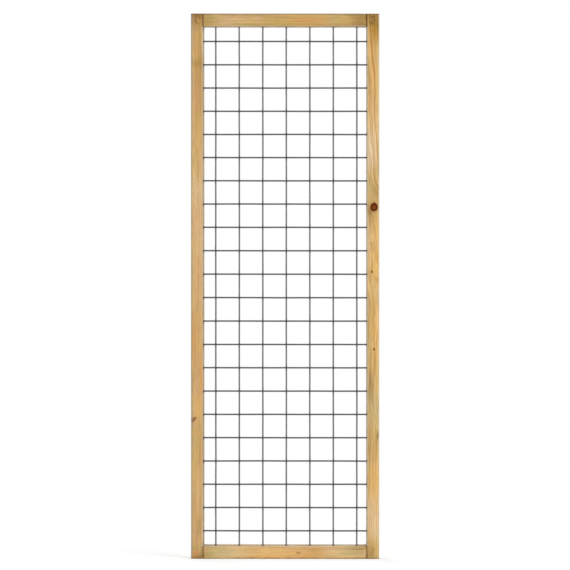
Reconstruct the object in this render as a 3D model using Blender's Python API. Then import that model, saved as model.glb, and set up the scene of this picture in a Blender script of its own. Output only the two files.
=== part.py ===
"""Mesh trellis panel: a two-layer timber frame with a welded wire mesh trapped in it.

Metres, +Z up. The panel stands on Z = 0 and is centred on X. Its front faces -Y, and the
origin lies under the middle of its depth.
"""

import math

import bmesh
import bpy
from mathutils import Matrix, Vector

# Overall size
FRAME_WIDTH = 0.600
FRAME_HEIGHT = 1.740

# Front layer of the frame: full-height stiles with the rails butted between them
FRONT_THICKNESS = 0.016
FRONT_STILE_WIDTH = 0.038
FRONT_RAIL_WIDTH = 0.041

# Rear layer: full-width rails with the stiles between them, so that the corners are lapped
REAR_THICKNESS = 0.027
LIP = 0.004  # how far the rear layer shows inside the front one, all round the opening

# Edges and joints of the timber
EASED_RADIUS = 0.0025  # rounding along the planed edges
EASED_SEGMENTS = 3
SAWN_ARRIS = 0.0006  # broken edge round a sawn end
SEAT_GAP = 0.0003  # space between pieces that bear on each other
BUTT_GAP = 0.0008  # open joint at each end of a member that is butted between two others

# Welded mesh: level wires in front, upright wires behind, welded at every crossing
WIRE_DIAMETER = 0.005
WIRE_SIDES = 8
PITCH_ACROSS = 0.075
PITCH_UP = 0.0744
LEAST_MARGIN = 0.025  # least space between a front member and the wire beside it
MESH_SHIFT = 0.0037  # the mesh lies this far right of the frame's middle
WELD_SINK = 0.0005  # how deep a weld presses two wires into each other
WIRE_GRIP = 0.0095  # how far the wires of a centred mesh reach behind the front layer

# Pocket for the wire ends, rebated into the rear layer
POCKET_END_ROOM = 0.002  # space past the ends of the wires
POCKET_CORNER_RADIUS = 0.006  # left by the cutter where a rail's rebate stops

# Countersunk screws, driven from the back through the rear layer into the front one
SCREW_DIAMETER = 0.004
SCREW_HEAD_DIAMETER = 0.008
SCREW_HEAD_LAND = 0.0004  # straight rim above the cone of the head
SCREW_POINT_LENGTH = 0.006
SCREW_POINT_COVER = 0.003  # timber left between a screw's point and the front face
SCREW_SIDES = 12
SCREW_CLEARANCE = 0.0003  # all round the screw in its hole
SCREW_EDGE_DISTANCE = 0.011  # from the edge of the timber to a screw's middle
SCREW_END_DISTANCE = 0.060  # from the end of the member to its first screw
SCREW_MOST_SPACING = 0.420
RECESS_SPAN = 0.0044
RECESS_WIDTH = 0.0010
RECESS_DEPTH = 0.0018
RECESS_TAPER = 0.55  # size of the recess at its bottom, as a share of its mouth

CUT_OVERSHOOT = 0.002  # how far a cutter stands out of the timber
SHARP_ANGLE = math.radians(35)

# Sizes that follow from the ones above
REAR_STILE_WIDTH = FRONT_STILE_WIDTH + LIP
REAR_RAIL_WIDTH = FRONT_RAIL_WIDTH + LIP
PANEL_DEPTH = FRONT_THICKNESS + SEAT_GAP + REAR_THICKNESS
FRONT_FACE_Y = -PANEL_DEPTH / 2
BACK_FACE_Y = PANEL_DEPTH / 2
FRONT_LAYER_Y = FRONT_FACE_Y + FRONT_THICKNESS / 2
REAR_LAYER_Y = BACK_FACE_Y - REAR_THICKNESS / 2
OPENING_WIDTH = FRAME_WIDTH - 2 * FRONT_STILE_WIDTH
OPENING_HEIGHT = FRAME_HEIGHT - 2 * FRONT_RAIL_WIDTH
MIDDLE_Z = FRAME_HEIGHT / 2

FRONT_RAIL_LENGTH = OPENING_WIDTH - 2 * BUTT_GAP
REAR_STILE_LENGTH = FRAME_HEIGHT - 2 * REAR_RAIL_WIDTH - 2 * SEAT_GAP

MESH_THICKNESS = 2 * WIRE_DIAMETER - WELD_SINK
LEVEL_WIRE_LENGTH = OPENING_WIDTH + 2 * WIRE_GRIP
UPRIGHT_WIRE_LENGTH = OPENING_HEIGHT + 2 * WIRE_GRIP
POCKET_DEPTH = MESH_THICKNESS + SEAT_GAP
STILE_POCKET_REACH = LIP + WIRE_GRIP + abs(MESH_SHIFT) + POCKET_END_ROOM
RAIL_POCKET_REACH = LIP + WIRE_GRIP + POCKET_END_ROOM
STILE_LANDING = REAR_STILE_WIDTH - STILE_POCKET_REACH

SCREW_LENGTH = PANEL_DEPTH - SCREW_POINT_COVER


def linear(red, green, blue):
    """Turn screen colour values from 0 to 255 into the linear colour that a shader takes."""
    def channel(value):
        share = value / 255
        return share / 12.92 if share <= 0.04045 else ((share + 0.055) / 1.055) ** 2.4
    return (channel(red), channel(green), channel(blue), 1.0)


FRONT_STILE_COLOUR = linear(200, 160, 104)
FRONT_RAIL_COLOUR = linear(206, 167, 110)
REAR_TIMBER_COLOUR = linear(190, 156, 112)
WIRE_COLOUR = linear(112, 112, 114)
SCREW_COLOUR = linear(176, 170, 150)


def clear_scene():
    """Remove every object that the scene holds."""
    for item in list(bpy.data.objects):
        bpy.data.objects.remove(item, do_unlink=True)


def new_collection(name):
    """Make a collection in the scene."""
    collection = bpy.data.collections.new(name)
    bpy.context.scene.collection.children.link(collection)
    return collection


def new_material(name, colour, roughness, metallic=0.0):
    """Make a plain Principled material."""
    material = bpy.data.materials.new(name)
    material.use_nodes = True
    shader = material.node_tree.nodes["Principled BSDF"]
    shader.inputs["Base Color"].default_value = colour
    shader.inputs["Roughness"].default_value = roughness
    shader.inputs["Metallic"].default_value = metallic
    material.diffuse_color = colour
    return material


def new_layer(name, y, collection):
    """Make the empty that carries one layer of the panel, at that layer's middle plane."""
    layer = bpy.data.objects.new(name, None)
    layer.location = (0, y, MIDDLE_Z)
    collection.objects.link(layer)
    return layer


def new_object(name, bm, collection, layer=None, location=(0, 0, 0)):
    """Make an object from a bmesh and place it in its layer."""
    mesh = bpy.data.meshes.new(name)
    bm.to_mesh(mesh)
    bm.free()
    item = bpy.data.objects.new(name, mesh)
    item.parent = layer
    item.location = location
    collection.objects.link(item)
    return item


def new_cutter(name, bm, cutters, layer=None, location=(0, 0, 0)):
    """Make an object that only cuts or joins others."""
    cutter = new_object(name, bm, cutters, layer, location)
    cutter.hide_render = True
    cutter.display_type = "WIRE"
    return cutter


def add_boolean(item, cutter, operation):
    """Cut an object with another, or join the two."""
    modifier = item.modifiers.new(cutter.name, "BOOLEAN")
    modifier.object = cutter
    modifier.operation = operation
    modifier.solver = "EXACT"


def finish_mesh(item, material):
    """Turn an object's modifiers into mesh, shade its round faces smooth and colour it."""
    graph = bpy.context.evaluated_depsgraph_get()
    mesh = bpy.data.meshes.new_from_object(item.evaluated_get(graph))
    item.modifiers.clear()
    item.data = mesh
    mesh.name = item.name
    mesh.shade_smooth()
    mesh.set_sharp_from_angle(angle=SHARP_ANGLE)
    mesh.materials.clear()
    mesh.materials.append(material)


def box(size):
    """A bmesh box about the origin."""
    bm = bmesh.new()
    bmesh.ops.create_cube(bm, size=1.0)
    bmesh.ops.scale(bm, vec=Vector(size), verts=bm.verts)
    return bm


def edges_along(bm, axis):
    """The straight edges of a bmesh that run along an axis."""
    found = []
    for edge in bm.edges:
        run = (edge.verts[1].co - edge.verts[0].co).normalized()
        if abs(run[axis]) > 0.999:
            found.append(edge)
    return found


def planed_timber(size, grain_axis):
    """A timber about the origin: rounded long edges and sawn ends with a broken edge."""
    bm = box(size)
    bmesh.ops.bevel(bm, geom=edges_along(bm, grain_axis), offset=EASED_RADIUS,
                    segments=EASED_SEGMENTS, profile=0.5, affect="EDGES")
    end = size[grain_axis] / 2
    end_edges = [edge for edge in bm.edges
                 if all(abs(abs(vert.co[grain_axis]) - end) < SAWN_ARRIS / 2 for vert in edge.verts)]
    bmesh.ops.bevel(bm, geom=end_edges, offset=SAWN_ARRIS, segments=1, profile=0.5,
                    affect="EDGES")
    return bm


def front_stile(name, side, parts, layer):
    """One full-height front stile. Side is -1 for left and 1 for right."""
    bm = planed_timber((FRONT_STILE_WIDTH, FRONT_THICKNESS, FRAME_HEIGHT), 2)
    x = side * (FRAME_WIDTH - FRONT_STILE_WIDTH) / 2
    return new_object(name, bm, parts, layer, (x, 0, 0))


def front_rail(name, end, parts, layer):
    """One front rail, butted between the stiles. End is -1 for bottom and 1 for top."""
    bm = planed_timber((FRONT_RAIL_LENGTH, FRONT_THICKNESS, FRONT_RAIL_WIDTH), 0)
    z = end * (FRAME_HEIGHT - FRONT_RAIL_WIDTH) / 2
    return new_object(name, bm, parts, layer, (0, 0, z))


def rear_stile(name, side, parts, cutters, layer):
    """One rear stile, with a through rebate along its inner front edge."""
    bm = planed_timber((REAR_STILE_WIDTH, REAR_THICKNESS, REAR_STILE_LENGTH), 2)
    x = side * (FRAME_WIDTH - REAR_STILE_WIDTH) / 2
    stile = new_object(name, bm, parts, layer, (x, 0, 0))

    width = STILE_POCKET_REACH + CUT_OVERSHOOT
    depth = POCKET_DEPTH + CUT_OVERSHOOT
    pocket = box((width, depth, REAR_STILE_LENGTH + 2 * CUT_OVERSHOOT))
    pocket_x = side * (FRAME_WIDTH / 2 - STILE_LANDING - width / 2)
    pocket_y = -REAR_THICKNESS / 2 + POCKET_DEPTH - depth / 2
    cutter = new_cutter(f"pocket_of_{name}", pocket, cutters, layer, (pocket_x, pocket_y, 0))
    add_boolean(stile, cutter, "DIFFERENCE")
    return stile


def rear_rail(name, end, parts, cutters, layer):
    """One rear rail, full width, with a rebate that stops short of both ends."""
    bm = planed_timber((FRAME_WIDTH, REAR_THICKNESS, REAR_RAIL_WIDTH), 0)
    z = end * (FRAME_HEIGHT - REAR_RAIL_WIDTH) / 2
    rail = new_object(name, bm, parts, layer, (0, 0, z))

    height = RAIL_POCKET_REACH + CUT_OVERSHOOT
    depth = POCKET_DEPTH + CUT_OVERSHOOT
    pocket = box((FRAME_WIDTH - 2 * STILE_LANDING, depth, height))
    stopped = [edge for edge in edges_along(pocket, 1) if edge.verts[0].co.z * end > 0]
    bmesh.ops.bevel(pocket, geom=stopped, offset=POCKET_CORNER_RADIUS,
                    segments=EASED_SEGMENTS, profile=0.5, affect="EDGES")
    pocket_y = -REAR_THICKNESS / 2 + POCKET_DEPTH - depth / 2
    inner_edge = FRAME_HEIGHT / 2 - REAR_RAIL_WIDTH
    pocket_z = end * (inner_edge - CUT_OVERSHOOT + height / 2)
    cutter = new_cutter(f"pocket_of_{name}", pocket, cutters, layer, (0, pocket_y, pocket_z))
    add_boolean(rail, cutter, "DIFFERENCE")
    return rail


def wire_places(opening, pitch):
    """Where the wires across an opening lie, about their own middle."""
    spaces = math.floor((opening - 2 * LEAST_MARGIN) / pitch)
    return [(index - spaces / 2) * pitch for index in range(spaces + 1)]


def wire_row(places, length, run_axis, step_axis, y):
    """A bmesh of parallel wires with flats to the front and back, one at each place."""
    corner_radius = WIRE_DIAMETER / 2 / math.cos(math.pi / WIRE_SIDES)
    half_side = Matrix.Rotation(math.pi / WIRE_SIDES, 4, "Z")
    lie = Matrix.Identity(4) if run_axis == 2 else Matrix.Rotation(math.pi / 2, 4, "Y")
    bm = bmesh.new()
    for place in places:
        middle = Vector((0, y, 0))
        middle[step_axis] = place
        bmesh.ops.create_cone(bm, cap_ends=True, segments=WIRE_SIDES, radius1=corner_radius,
                              radius2=corner_radius, depth=length,
                              matrix=Matrix.Translation(middle) @ lie @ half_side)
    return bm


def welded_mesh(name, parts, cutters, layer):
    """The whole welded mesh: both rows of wires, pressed into each other where they cross."""
    weld_offset = (WIRE_DIAMETER - WELD_SINK) / 2
    uprights = wire_row(wire_places(OPENING_WIDTH, PITCH_ACROSS), UPRIGHT_WIRE_LENGTH,
                        2, 0, weld_offset)
    levels = wire_row(wire_places(OPENING_HEIGHT, PITCH_UP), LEVEL_WIRE_LENGTH,
                      0, 2, -weld_offset)
    mesh = new_object(name, uprights, parts, layer, (MESH_SHIFT, 0, 0))
    joined = new_cutter("level_wires", levels, cutters, layer, (MESH_SHIFT, 0, 0))
    add_boolean(mesh, joined, "UNION")
    return mesh


def screw_profile(growth=0.0, rise=0.0):
    """Radius and height of a screw's outline, from the middle of its head to its point.

    Growth widens and deepens it all round, and rise lifts the head's flat top.
    """
    head = SCREW_HEAD_DIAMETER / 2
    shank = SCREW_DIAMETER / 2
    neck = SCREW_HEAD_LAND + head - shank
    return [
        (0, rise),
        (head + growth, rise),
        (head + growth, -SCREW_HEAD_LAND),
        (shank + growth, -neck),
        (shank + growth, SCREW_POINT_LENGTH - SCREW_LENGTH),
        (0, -SCREW_LENGTH - growth * SCREW_POINT_LENGTH / shank),
    ]


def turn(profile):
    """A bmesh turned about Z from an outline that runs down from the axis to the axis."""
    bm = bmesh.new()
    corners = [bm.verts.new((radius, 0, height)) for radius, height in profile]
    for upper, lower in zip(corners, corners[1:]):
        bm.edges.new((upper, lower))
    bmesh.ops.spin(bm, geom=bm.verts[:] + bm.edges[:], cent=(0, 0, 0), axis=(0, 0, 1),
                   angle=math.tau, steps=SCREW_SIDES, use_merge=True)
    bmesh.ops.remove_doubles(bm, verts=bm.verts, dist=0.00001)
    bmesh.ops.recalc_face_normals(bm, faces=bm.faces)
    return bm


def cross_recess():
    """A bmesh of the tapered cross that a driver fits, its mouth at the head's flat top."""
    rise = CUT_OVERSHOOT / 2
    height = RECESS_DEPTH + rise
    mouth = 1 + (1 - RECESS_TAPER) * rise / RECESS_DEPTH
    half_span = RECESS_SPAN / 2
    half_width = RECESS_WIDTH / 2
    bm = bmesh.new()
    bmesh.ops.create_grid(bm, x_segments=1, y_segments=1, size=half_width)
    for edge in bm.edges[:]:
        outward = (edge.verts[0].co + edge.verts[1].co) / 2
        arm = bmesh.ops.extrude_edge_only(bm, edges=[edge])
        tip = [item for item in arm["geom"] if isinstance(item, bmesh.types.BMVert)]
        bmesh.ops.translate(bm, vec=outward.normalized() * (half_span - half_width), verts=tip)
    solid = bmesh.ops.extrude_face_region(bm, geom=bm.faces[:])
    lower = [item for item in solid["geom"] if isinstance(item, bmesh.types.BMVert)]
    upper = [vert for vert in bm.verts if vert not in lower]
    bmesh.ops.translate(bm, vec=(0, 0, -height), verts=lower)
    bmesh.ops.scale(bm, vec=(RECESS_TAPER, RECESS_TAPER, 1), verts=lower)
    bmesh.ops.scale(bm, vec=(mouth, mouth, 1), verts=upper)
    bmesh.ops.translate(bm, vec=(0, 0, rise), verts=bm.verts)
    bmesh.ops.recalc_face_normals(bm, faces=bm.faces)
    return bm


def screw_mesh(material, parts, cutters):
    """The mesh that all screws share: a turned body with a cross recess in its head."""
    pattern = new_object("screw", turn(screw_profile()), parts)
    recess = new_cutter("recess", cross_recess(), cutters)
    add_boolean(pattern, recess, "DIFFERENCE")
    finish_mesh(pattern, material)
    mesh = pattern.data
    bpy.data.objects.remove(pattern, do_unlink=True)
    return mesh


def spaced(start, stop):
    """Evenly spaced screw places from start to stop, no further apart than allowed."""
    spaces = max(1, math.ceil((stop - start) / SCREW_MOST_SPACING))
    return [start + (stop - start) * index / spaces for index in range(spaces + 1)]


def screw_places():
    """Name, X, Z and the two timbers of every screw, in the plane of the layers."""
    places = []
    edge_x = FRAME_WIDTH / 2 - SCREW_EDGE_DISTANCE
    edge_z = FRAME_HEIGHT / 2 - SCREW_EDGE_DISTANCE
    stile_x = FRAME_WIDTH / 2 - FRONT_STILE_WIDTH + SCREW_EDGE_DISTANCE
    rail_z = FRAME_HEIGHT / 2 - REAR_RAIL_WIDTH + SCREW_EDGE_DISTANCE
    stile_end = REAR_STILE_LENGTH / 2 - SCREW_END_DISTANCE
    rail_end = FRONT_RAIL_LENGTH / 2 - SCREW_END_DISTANCE
    for side, side_name in ((-1, "left"), (1, "right")):
        stile = f"front_{side_name}_stile"
        for end, end_name in ((-1, "bottom"), (1, "top")):
            rail = f"rear_{end_name}_rail"
            corner = f"screw_{end_name}_{side_name}_corner"
            places.append((f"{corner}_1", side * edge_x, end * rail_z, rail, stile))
            places.append((f"{corner}_2", side * stile_x, end * edge_z, rail, stile))
        for number, z in enumerate(spaced(-stile_end, stile_end), start=1):
            name = f"screw_{side_name}_stile_{number}"
            places.append((name, side * edge_x, z, f"rear_{side_name}_stile", stile))
    for end, end_name in ((-1, "bottom"), (1, "top")):
        for number, x in enumerate(spaced(-rail_end, rail_end), start=1):
            name = f"screw_{end_name}_rail_{number}"
            places.append((name, x, end * edge_z, f"rear_{end_name}_rail", f"front_{end_name}_rail"))
    return places


def facing_back(bm):
    """Turn a bmesh so that its +Z points out of the panel's back."""
    bmesh.ops.rotate(bm, cent=(0, 0, 0), matrix=Matrix.Rotation(-math.pi / 2, 3, "X"), verts=bm.verts)
    return bm


def drill(timber, places, cutters, layer):
    """Cut the screw holes of one timber: countersink, clearance hole and pilot hole."""
    holes = bmesh.new()
    pattern = facing_back(turn(screw_profile(SCREW_CLEARANCE, CUT_OVERSHOOT)))
    hole = bpy.data.meshes.new("hole")
    pattern.to_mesh(hole)
    pattern.free()
    for _, x, z, rear, front in places:
        if timber.name in (rear, front):
            start = len(holes.verts)
            holes.from_mesh(hole)
            holes.verts.ensure_lookup_table()
            bmesh.ops.translate(holes, vec=(x, 0, z), verts=holes.verts[start:])
    bpy.data.meshes.remove(hole)
    cutter = new_cutter(f"holes_of_{timber.name}", holes, cutters, layer)
    add_boolean(timber, cutter, "DIFFERENCE")


def build():
    """Build the whole panel."""
    clear_scene()
    parts = new_collection("mesh_trellis")
    cutters = new_collection("cutters")
    front_layer = new_layer("front_layer", FRONT_LAYER_Y, parts)
    rear_layer = new_layer("rear_layer", REAR_LAYER_Y, parts)
    mesh_layer = new_layer("mesh_layer", FRONT_FACE_Y + FRONT_THICKNESS + SEAT_GAP
                           + MESH_THICKNESS / 2, parts)
    screw_layer = new_layer("screw_layer", BACK_FACE_Y, parts)

    timbers = []
    for side, side_name in ((-1, "left"), (1, "right")):
        timbers.append(front_stile(f"front_{side_name}_stile", side, parts, front_layer))
        timbers.append(rear_stile(f"rear_{side_name}_stile", side, parts, cutters, rear_layer))
    for end, end_name in ((-1, "bottom"), (1, "top")):
        timbers.append(front_rail(f"front_{end_name}_rail", end, parts, front_layer))
        timbers.append(rear_rail(f"rear_{end_name}_rail", end, parts, cutters, rear_layer))

    mesh = welded_mesh("welded_mesh", parts, cutters, mesh_layer)
    finish_mesh(mesh, new_material("galvanised_wire", WIRE_COLOUR, 0.45, 0.85))

    places = screw_places()
    for timber in timbers:
        drill(timber, places, cutters, screw_layer)
        colour = REAR_TIMBER_COLOUR
        if timber.name.startswith("front"):
            colour = FRONT_STILE_COLOUR if timber.name.endswith("stile") else FRONT_RAIL_COLOUR
        finish_mesh(timber, new_material(f"{timber.name}_timber", colour, 0.75))

    screw = screw_mesh(new_material("zinc_screw", SCREW_COLOUR, 0.4, 0.9), parts, cutters)
    screw.transform(Matrix.Rotation(-math.pi / 2, 4, "X"))
    for name, x, z, _, _ in places:
        item = bpy.data.objects.new(name, screw)
        item.parent = screw_layer
        item.location = (x, 0, z)
        parts.objects.link(item)


build()
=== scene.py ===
"""Finished look of the mesh trellis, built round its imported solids.

Metres, +Z up, front towards -Y. Every board, wire and screw is modelled again with the
detail that shows close to, in the place of the solid that it stands for.
"""

import logging
import math
import random
from collections.abc import Iterable
from dataclasses import dataclass
from enum import Enum

import bmesh
import bpy
from bmesh.types import BMEdge, BMesh, BMVert
from mathutils import Euler, Matrix, Vector, noise


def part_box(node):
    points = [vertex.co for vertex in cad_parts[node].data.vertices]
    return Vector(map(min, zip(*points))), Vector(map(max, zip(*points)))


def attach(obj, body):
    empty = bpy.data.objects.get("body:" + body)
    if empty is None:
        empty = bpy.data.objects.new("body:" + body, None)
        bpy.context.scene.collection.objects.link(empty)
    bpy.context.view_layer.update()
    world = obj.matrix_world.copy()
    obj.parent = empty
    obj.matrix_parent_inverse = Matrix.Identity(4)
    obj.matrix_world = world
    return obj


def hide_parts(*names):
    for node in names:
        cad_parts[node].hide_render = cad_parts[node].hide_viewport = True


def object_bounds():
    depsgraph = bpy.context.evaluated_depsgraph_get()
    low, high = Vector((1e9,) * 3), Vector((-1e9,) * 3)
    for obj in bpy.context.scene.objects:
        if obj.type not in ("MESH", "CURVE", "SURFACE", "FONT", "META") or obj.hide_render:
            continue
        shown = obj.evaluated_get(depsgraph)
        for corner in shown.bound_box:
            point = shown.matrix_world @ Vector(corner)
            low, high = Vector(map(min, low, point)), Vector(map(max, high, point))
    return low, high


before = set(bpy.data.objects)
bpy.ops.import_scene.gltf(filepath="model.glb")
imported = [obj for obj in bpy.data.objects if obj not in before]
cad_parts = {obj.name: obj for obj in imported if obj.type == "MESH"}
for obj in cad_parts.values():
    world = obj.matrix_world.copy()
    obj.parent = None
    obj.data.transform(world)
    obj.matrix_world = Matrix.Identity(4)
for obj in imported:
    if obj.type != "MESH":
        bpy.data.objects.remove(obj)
CAD_LOW, CAD_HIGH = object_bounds()
CAD_MIDDLE = (CAD_LOW + CAD_HIGH) / 2

LOG = logging.getLogger("mesh_trellis")

MILLIMETRE = 0.001
ROOT_BODY = "root"
DEPTH_AXIS = 1
SHARP_ANGLE = math.radians(40)
STRAIGHT = 0.9999
TOUCHING = 0.00001
SCREEN_WHITE = 255

Colour = tuple[float, float, float, float]
Rgb = tuple[int, int, int]
Socket = bpy.types.NodeSocket
Value = float | Socket


def screen(tint: Rgb) -> Colour:
    """Turn a screen colour into the linear colour that a shader takes.

    The numbers in the curve are those of the sRGB standard.

    Args:
        tint: Red, green and blue, each from 0 to 255.

    Returns:
        The linear colour with an alpha of 1.
    """
    shares = [value / SCREEN_WHITE for value in tint]
    linear = [share / 12.92 if share <= 0.04045 else ((share + 0.055) / 1.055) ** 2.4
              for share in shares]
    return (*linear, 1.0)


class Grain(Enum):
    """Which way a board's grain or a wire runs. The value is the axis along it."""

    UPRIGHT = 2
    LEVEL = 0

    @property
    def across(self) -> int:
        """The axis across a board's face."""
        return 0 if self is Grain.UPRIGHT else 2

    @property
    def turn(self) -> Matrix:
        """The turn that lays an upright shape along the grain."""
        upright = self is Grain.UPRIGHT
        return Matrix.Identity(4) if upright else Matrix.Rotation(math.pi / 2, 4, "Y")

    def vector(self, along: float, across: float, depth: float) -> Vector:
        """A vector from its parts along the grain, across the face and into the board."""
        upright = self is Grain.UPRIGHT
        return Vector((across, depth, along) if upright else (along, depth, across))


class Layer(Enum):
    """The two layers of the frame."""

    FRONT = "front"
    REAR = "rear"


class Tint(Enum):
    """Stains that treated pine shows in patches, as screen colours. PALE also paints highlight
    along an inner edge.
    """

    OLIVE = (172, 158, 90)
    GREEN = (178, 178, 128)
    PINK = (216, 162, 130)
    ORANGE = (218, 150, 82)
    PALE = (234, 209, 172)
    BROWN = (124, 92, 38)
    HONEY = (228, 180, 102)
    GOLD = (186, 140, 52)
    UMBER = (112, 74, 24)

    @property
    def colour(self) -> Colour:
        """The linear colour that a shader takes."""
        return screen(self.value)


@dataclass(frozen=True)
class Knot:
    """A knot in a board.

    Attributes:
        along: Its place on the axis along the grain.
        across: Its place on the axis across the face.
        radius: Half its size across the grain.
        stretch: Its size along the grain as a share of that across.
        darkness: How dark its heart is, from 0 to 1. At 1 it is cracked.
    """

    along: float
    across: float
    radius: float
    stretch: float = 1.2
    darkness: float = 1.0


@dataclass(frozen=True)
class Patch:
    """A soft stain on a board; a few pale ones along an inner edge are painted highlight.

    Attributes:
        along: Place of its middle on the axis along the grain.
        across: Place of its middle on the axis across the face.
        length: Half its length along the grain.
        width: Half its width across the face.
        tint: Its colour.
        strength: How much of the colour shows in its middle. At 1 it all but hides the wood.
    """

    along: float
    across: float
    length: float
    width: float
    tint: Tint
    strength: float


def stains(*rows: tuple[float, float, float, float, Tint, float]) -> tuple[Patch, ...]:
    """Patches from rows of a Patch's values, of which the four lengths are millimetres."""
    return tuple(Patch(*(size * MILLIMETRE for size in row[:4]), *row[4:]) for row in rows)


@dataclass(frozen=True)
class Sway:
    """A stretch of a board where the grain crosses it askew.

    Attributes:
        along: Place of its middle on the axis along the grain.
        length: Half its length along the grain.
        shift: How far the grain moves across the face over the stretch.
    """

    along: float
    length: float
    shift: float


@dataclass(frozen=True)
class DrawnNoise:
    """Noise with a scale of its own on each axis, such as one drawn out along the grain.

    Attributes:
        along: How many features a metre holds on the first axis, along a board's grain.
        across: How many it holds on the second, across a board's face.
        into: How many it holds on the third, into a board.
        detail: Octaves of the noise.
        offset: A shift that gives the noise its own pattern.
    """

    along: float
    across: float
    into: float
    detail: float
    offset: float = 0.0


class Graph:
    """Adds nodes to one node tree and links them.

    The Mix node lists its sockets for all kinds of data: MIX_UNDER, MIX_OVER and
    MIX_RESULT are the places of those for colours. OFFSET_SPREAD shares a noise's offset
    out among its three axes.
    """

    MIX_UNDER = 6
    MIX_OVER = 7
    MIX_RESULT = 2
    OFFSET_SPREAD = (1.0, 1.7, 0.6)

    def __init__(self, tree: bpy.types.NodeTree) -> None:
        """Start on the tree that the nodes go into."""
        self.tree = tree

    def feed(self, socket: Socket, value: Value | Vector | Colour) -> None:
        """Link a socket to an input, or write a plain value into it.

        Args:
            socket: The input.
            value: Another node's output, or the value to hold.
        """
        if isinstance(value, bpy.types.NodeSocket):
            self.tree.links.new(value, socket)
        else:
            socket.default_value = value

    def node(self, kind: str, **settings: object) -> bpy.types.Node:
        """Add a node and set its properties.

        Args:
            kind: Blender's name of the node type.
            **settings: Properties of the node and their values.

        Returns:
            The new node.
        """
        made = self.tree.nodes.new(kind)
        for name, value in settings.items():
            setattr(made, name, value)
        return made

    def math(self, operation: str, *values: Value) -> Socket:
        """Work out a number.

        Args:
            operation: Blender's name of the operation.
            *values: The numbers or outputs that it takes.

        Returns:
            The result's output.
        """
        made = self.node("ShaderNodeMath", operation=operation)
        for socket, value in zip(made.inputs, values):
            self.feed(socket, value)
        return made.outputs[0]

    def times(self, first: Value, second: Value) -> Socket:
        """The product of two numbers."""
        return self.math("MULTIPLY", first, second)

    def square_sum(self, first: Value, second: Value) -> Socket:
        """The squares of two numbers added together."""
        return self.math("ADD", self.times(first, first), self.times(second, second))

    def smooth(self, value: Value, low: Value, high: Value) -> Socket:
        """Ease from 0 at low to 1 at high.

        Args:
            value: The number that is judged.
            low: Where the result leaves 0.
            high: Where the result reaches 1.

        Returns:
            The eased share.
        """
        made = self.node("ShaderNodeMapRange", interpolation_type="SMOOTHSTEP")
        self.feed(made.inputs["Value"], value)
        self.feed(made.inputs["From Min"], low)
        self.feed(made.inputs["From Max"], high)
        return made.outputs["Result"]

    def fade(self, value: Value, low: Value, high: Value) -> Socket:
        """Ease from 1 at low to 0 at high."""
        return self.math("SUBTRACT", 1.0, self.smooth(value, low, high))

    def bell(self, value: Value, sharpness: float) -> Socket:
        """A bell curve: 1 where the value is 0, falling faster the sharper it is."""
        return self.math("EXPONENT", self.times(self.times(value, value), -sharpness))

    def span(self, value: Value, low: float, high: float) -> Socket:
        """Spread a share from 0 to 1 between two numbers."""
        return self.math("MULTIPLY_ADD", value, high - low, low)

    def weigh(self, start: Value, sources: dict[str, Socket], shares: dict[str, float]
              ) -> Socket:
        """Add shares of some outputs to a number.

        Args:
            start: The number that they are added to.
            sources: The outputs by name.
            shares: How much of each is added, by the same names.

        Returns:
            The sum.
        """
        for name, share in shares.items():
            start = self.math("MULTIPLY_ADD", sources[name], share, start)
        return start

    def combine(self, x: Value, y: Value, z: Value) -> Socket:
        """Join three numbers into a vector.

        Args:
            x: First part.
            y: Second part.
            z: Third part.

        Returns:
            The vector's output.
        """
        made = self.node("ShaderNodeCombineXYZ")
        for socket, value in zip(made.inputs, (x, y, z)):
            self.feed(socket, value)
        return made.outputs[0]

    def separate(self, vector: Socket) -> list[Socket]:
        """Split a vector into its three numbers.

        Args:
            vector: The vector.

        Returns:
            The outputs of its parts.
        """
        made = self.node("ShaderNodeSeparateXYZ")
        self.feed(made.inputs[0], vector)
        return list(made.outputs)

    def drawn_noise(self, vector: Socket, kind: DrawnNoise, shift: float = 0.0) -> Socket:
        """Noise from 0 to 1.

        Args:
            vector: The place, which in a board is along, across and into it.
            kind: The noise's scales, detail and offset.
            shift: What a piece adds to the offset to make the noise its own.

        Returns:
            The noise.
        """
        offset = kind.offset + shift
        mapping = self.node("ShaderNodeMapping")
        self.feed(mapping.inputs["Vector"], vector)
        mapping.inputs["Scale"].default_value = (kind.along, kind.across, kind.into)
        mapping.inputs["Location"].default_value = [offset * share
                                                    for share in self.OFFSET_SPREAD]
        made = self.node("ShaderNodeTexNoise")
        self.feed(made.inputs["Vector"], mapping.outputs[0])
        made.inputs["Scale"].default_value = 1.0
        made.inputs["Detail"].default_value = kind.detail
        return made.outputs["Fac"]

    def mix(self, share: Value, under: Value | Colour, over: Value | Colour,
            blend: str = "MIX") -> Socket:
        """Lay one colour over another. The Mix node holds the share between 0 and 1.

        Args:
            share: How much of the upper colour shows.
            under: The lower colour.
            over: The upper colour.
            blend: Blender's name of the blend mode.

        Returns:
            The mixed colour.
        """
        made = self.node("ShaderNodeMix", data_type="RGBA", blend_type=blend)
        self.feed(made.inputs["Factor"], share)
        self.feed(made.inputs[self.MIX_UNDER], under)
        self.feed(made.inputs[self.MIX_OVER], over)
        return made.outputs[self.MIX_RESULT]

    def lay(self, under: Value | Colour, over: Value | Colour, mask: Value,
            strength: Value) -> Socket:
        """Lay one colour over another where a mask shows it, at a strength."""
        return self.mix(self.times(mask, strength), under, over)

    def relief(self, height: Value, strength: float, depth: float) -> Socket:
        """Turn a height into fine relief.

        Args:
            height: The height from 0 to 1.
            strength: How much of the relief shows, from 0 to 1.
            depth: How far a height of 1 stands out.

        Returns:
            The normal.
        """
        bump = self.node("ShaderNodeBump")
        bump.inputs["Strength"].default_value = strength
        bump.inputs["Distance"].default_value = depth
        self.feed(bump.inputs["Height"], height)
        return bump.outputs["Normal"]

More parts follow.
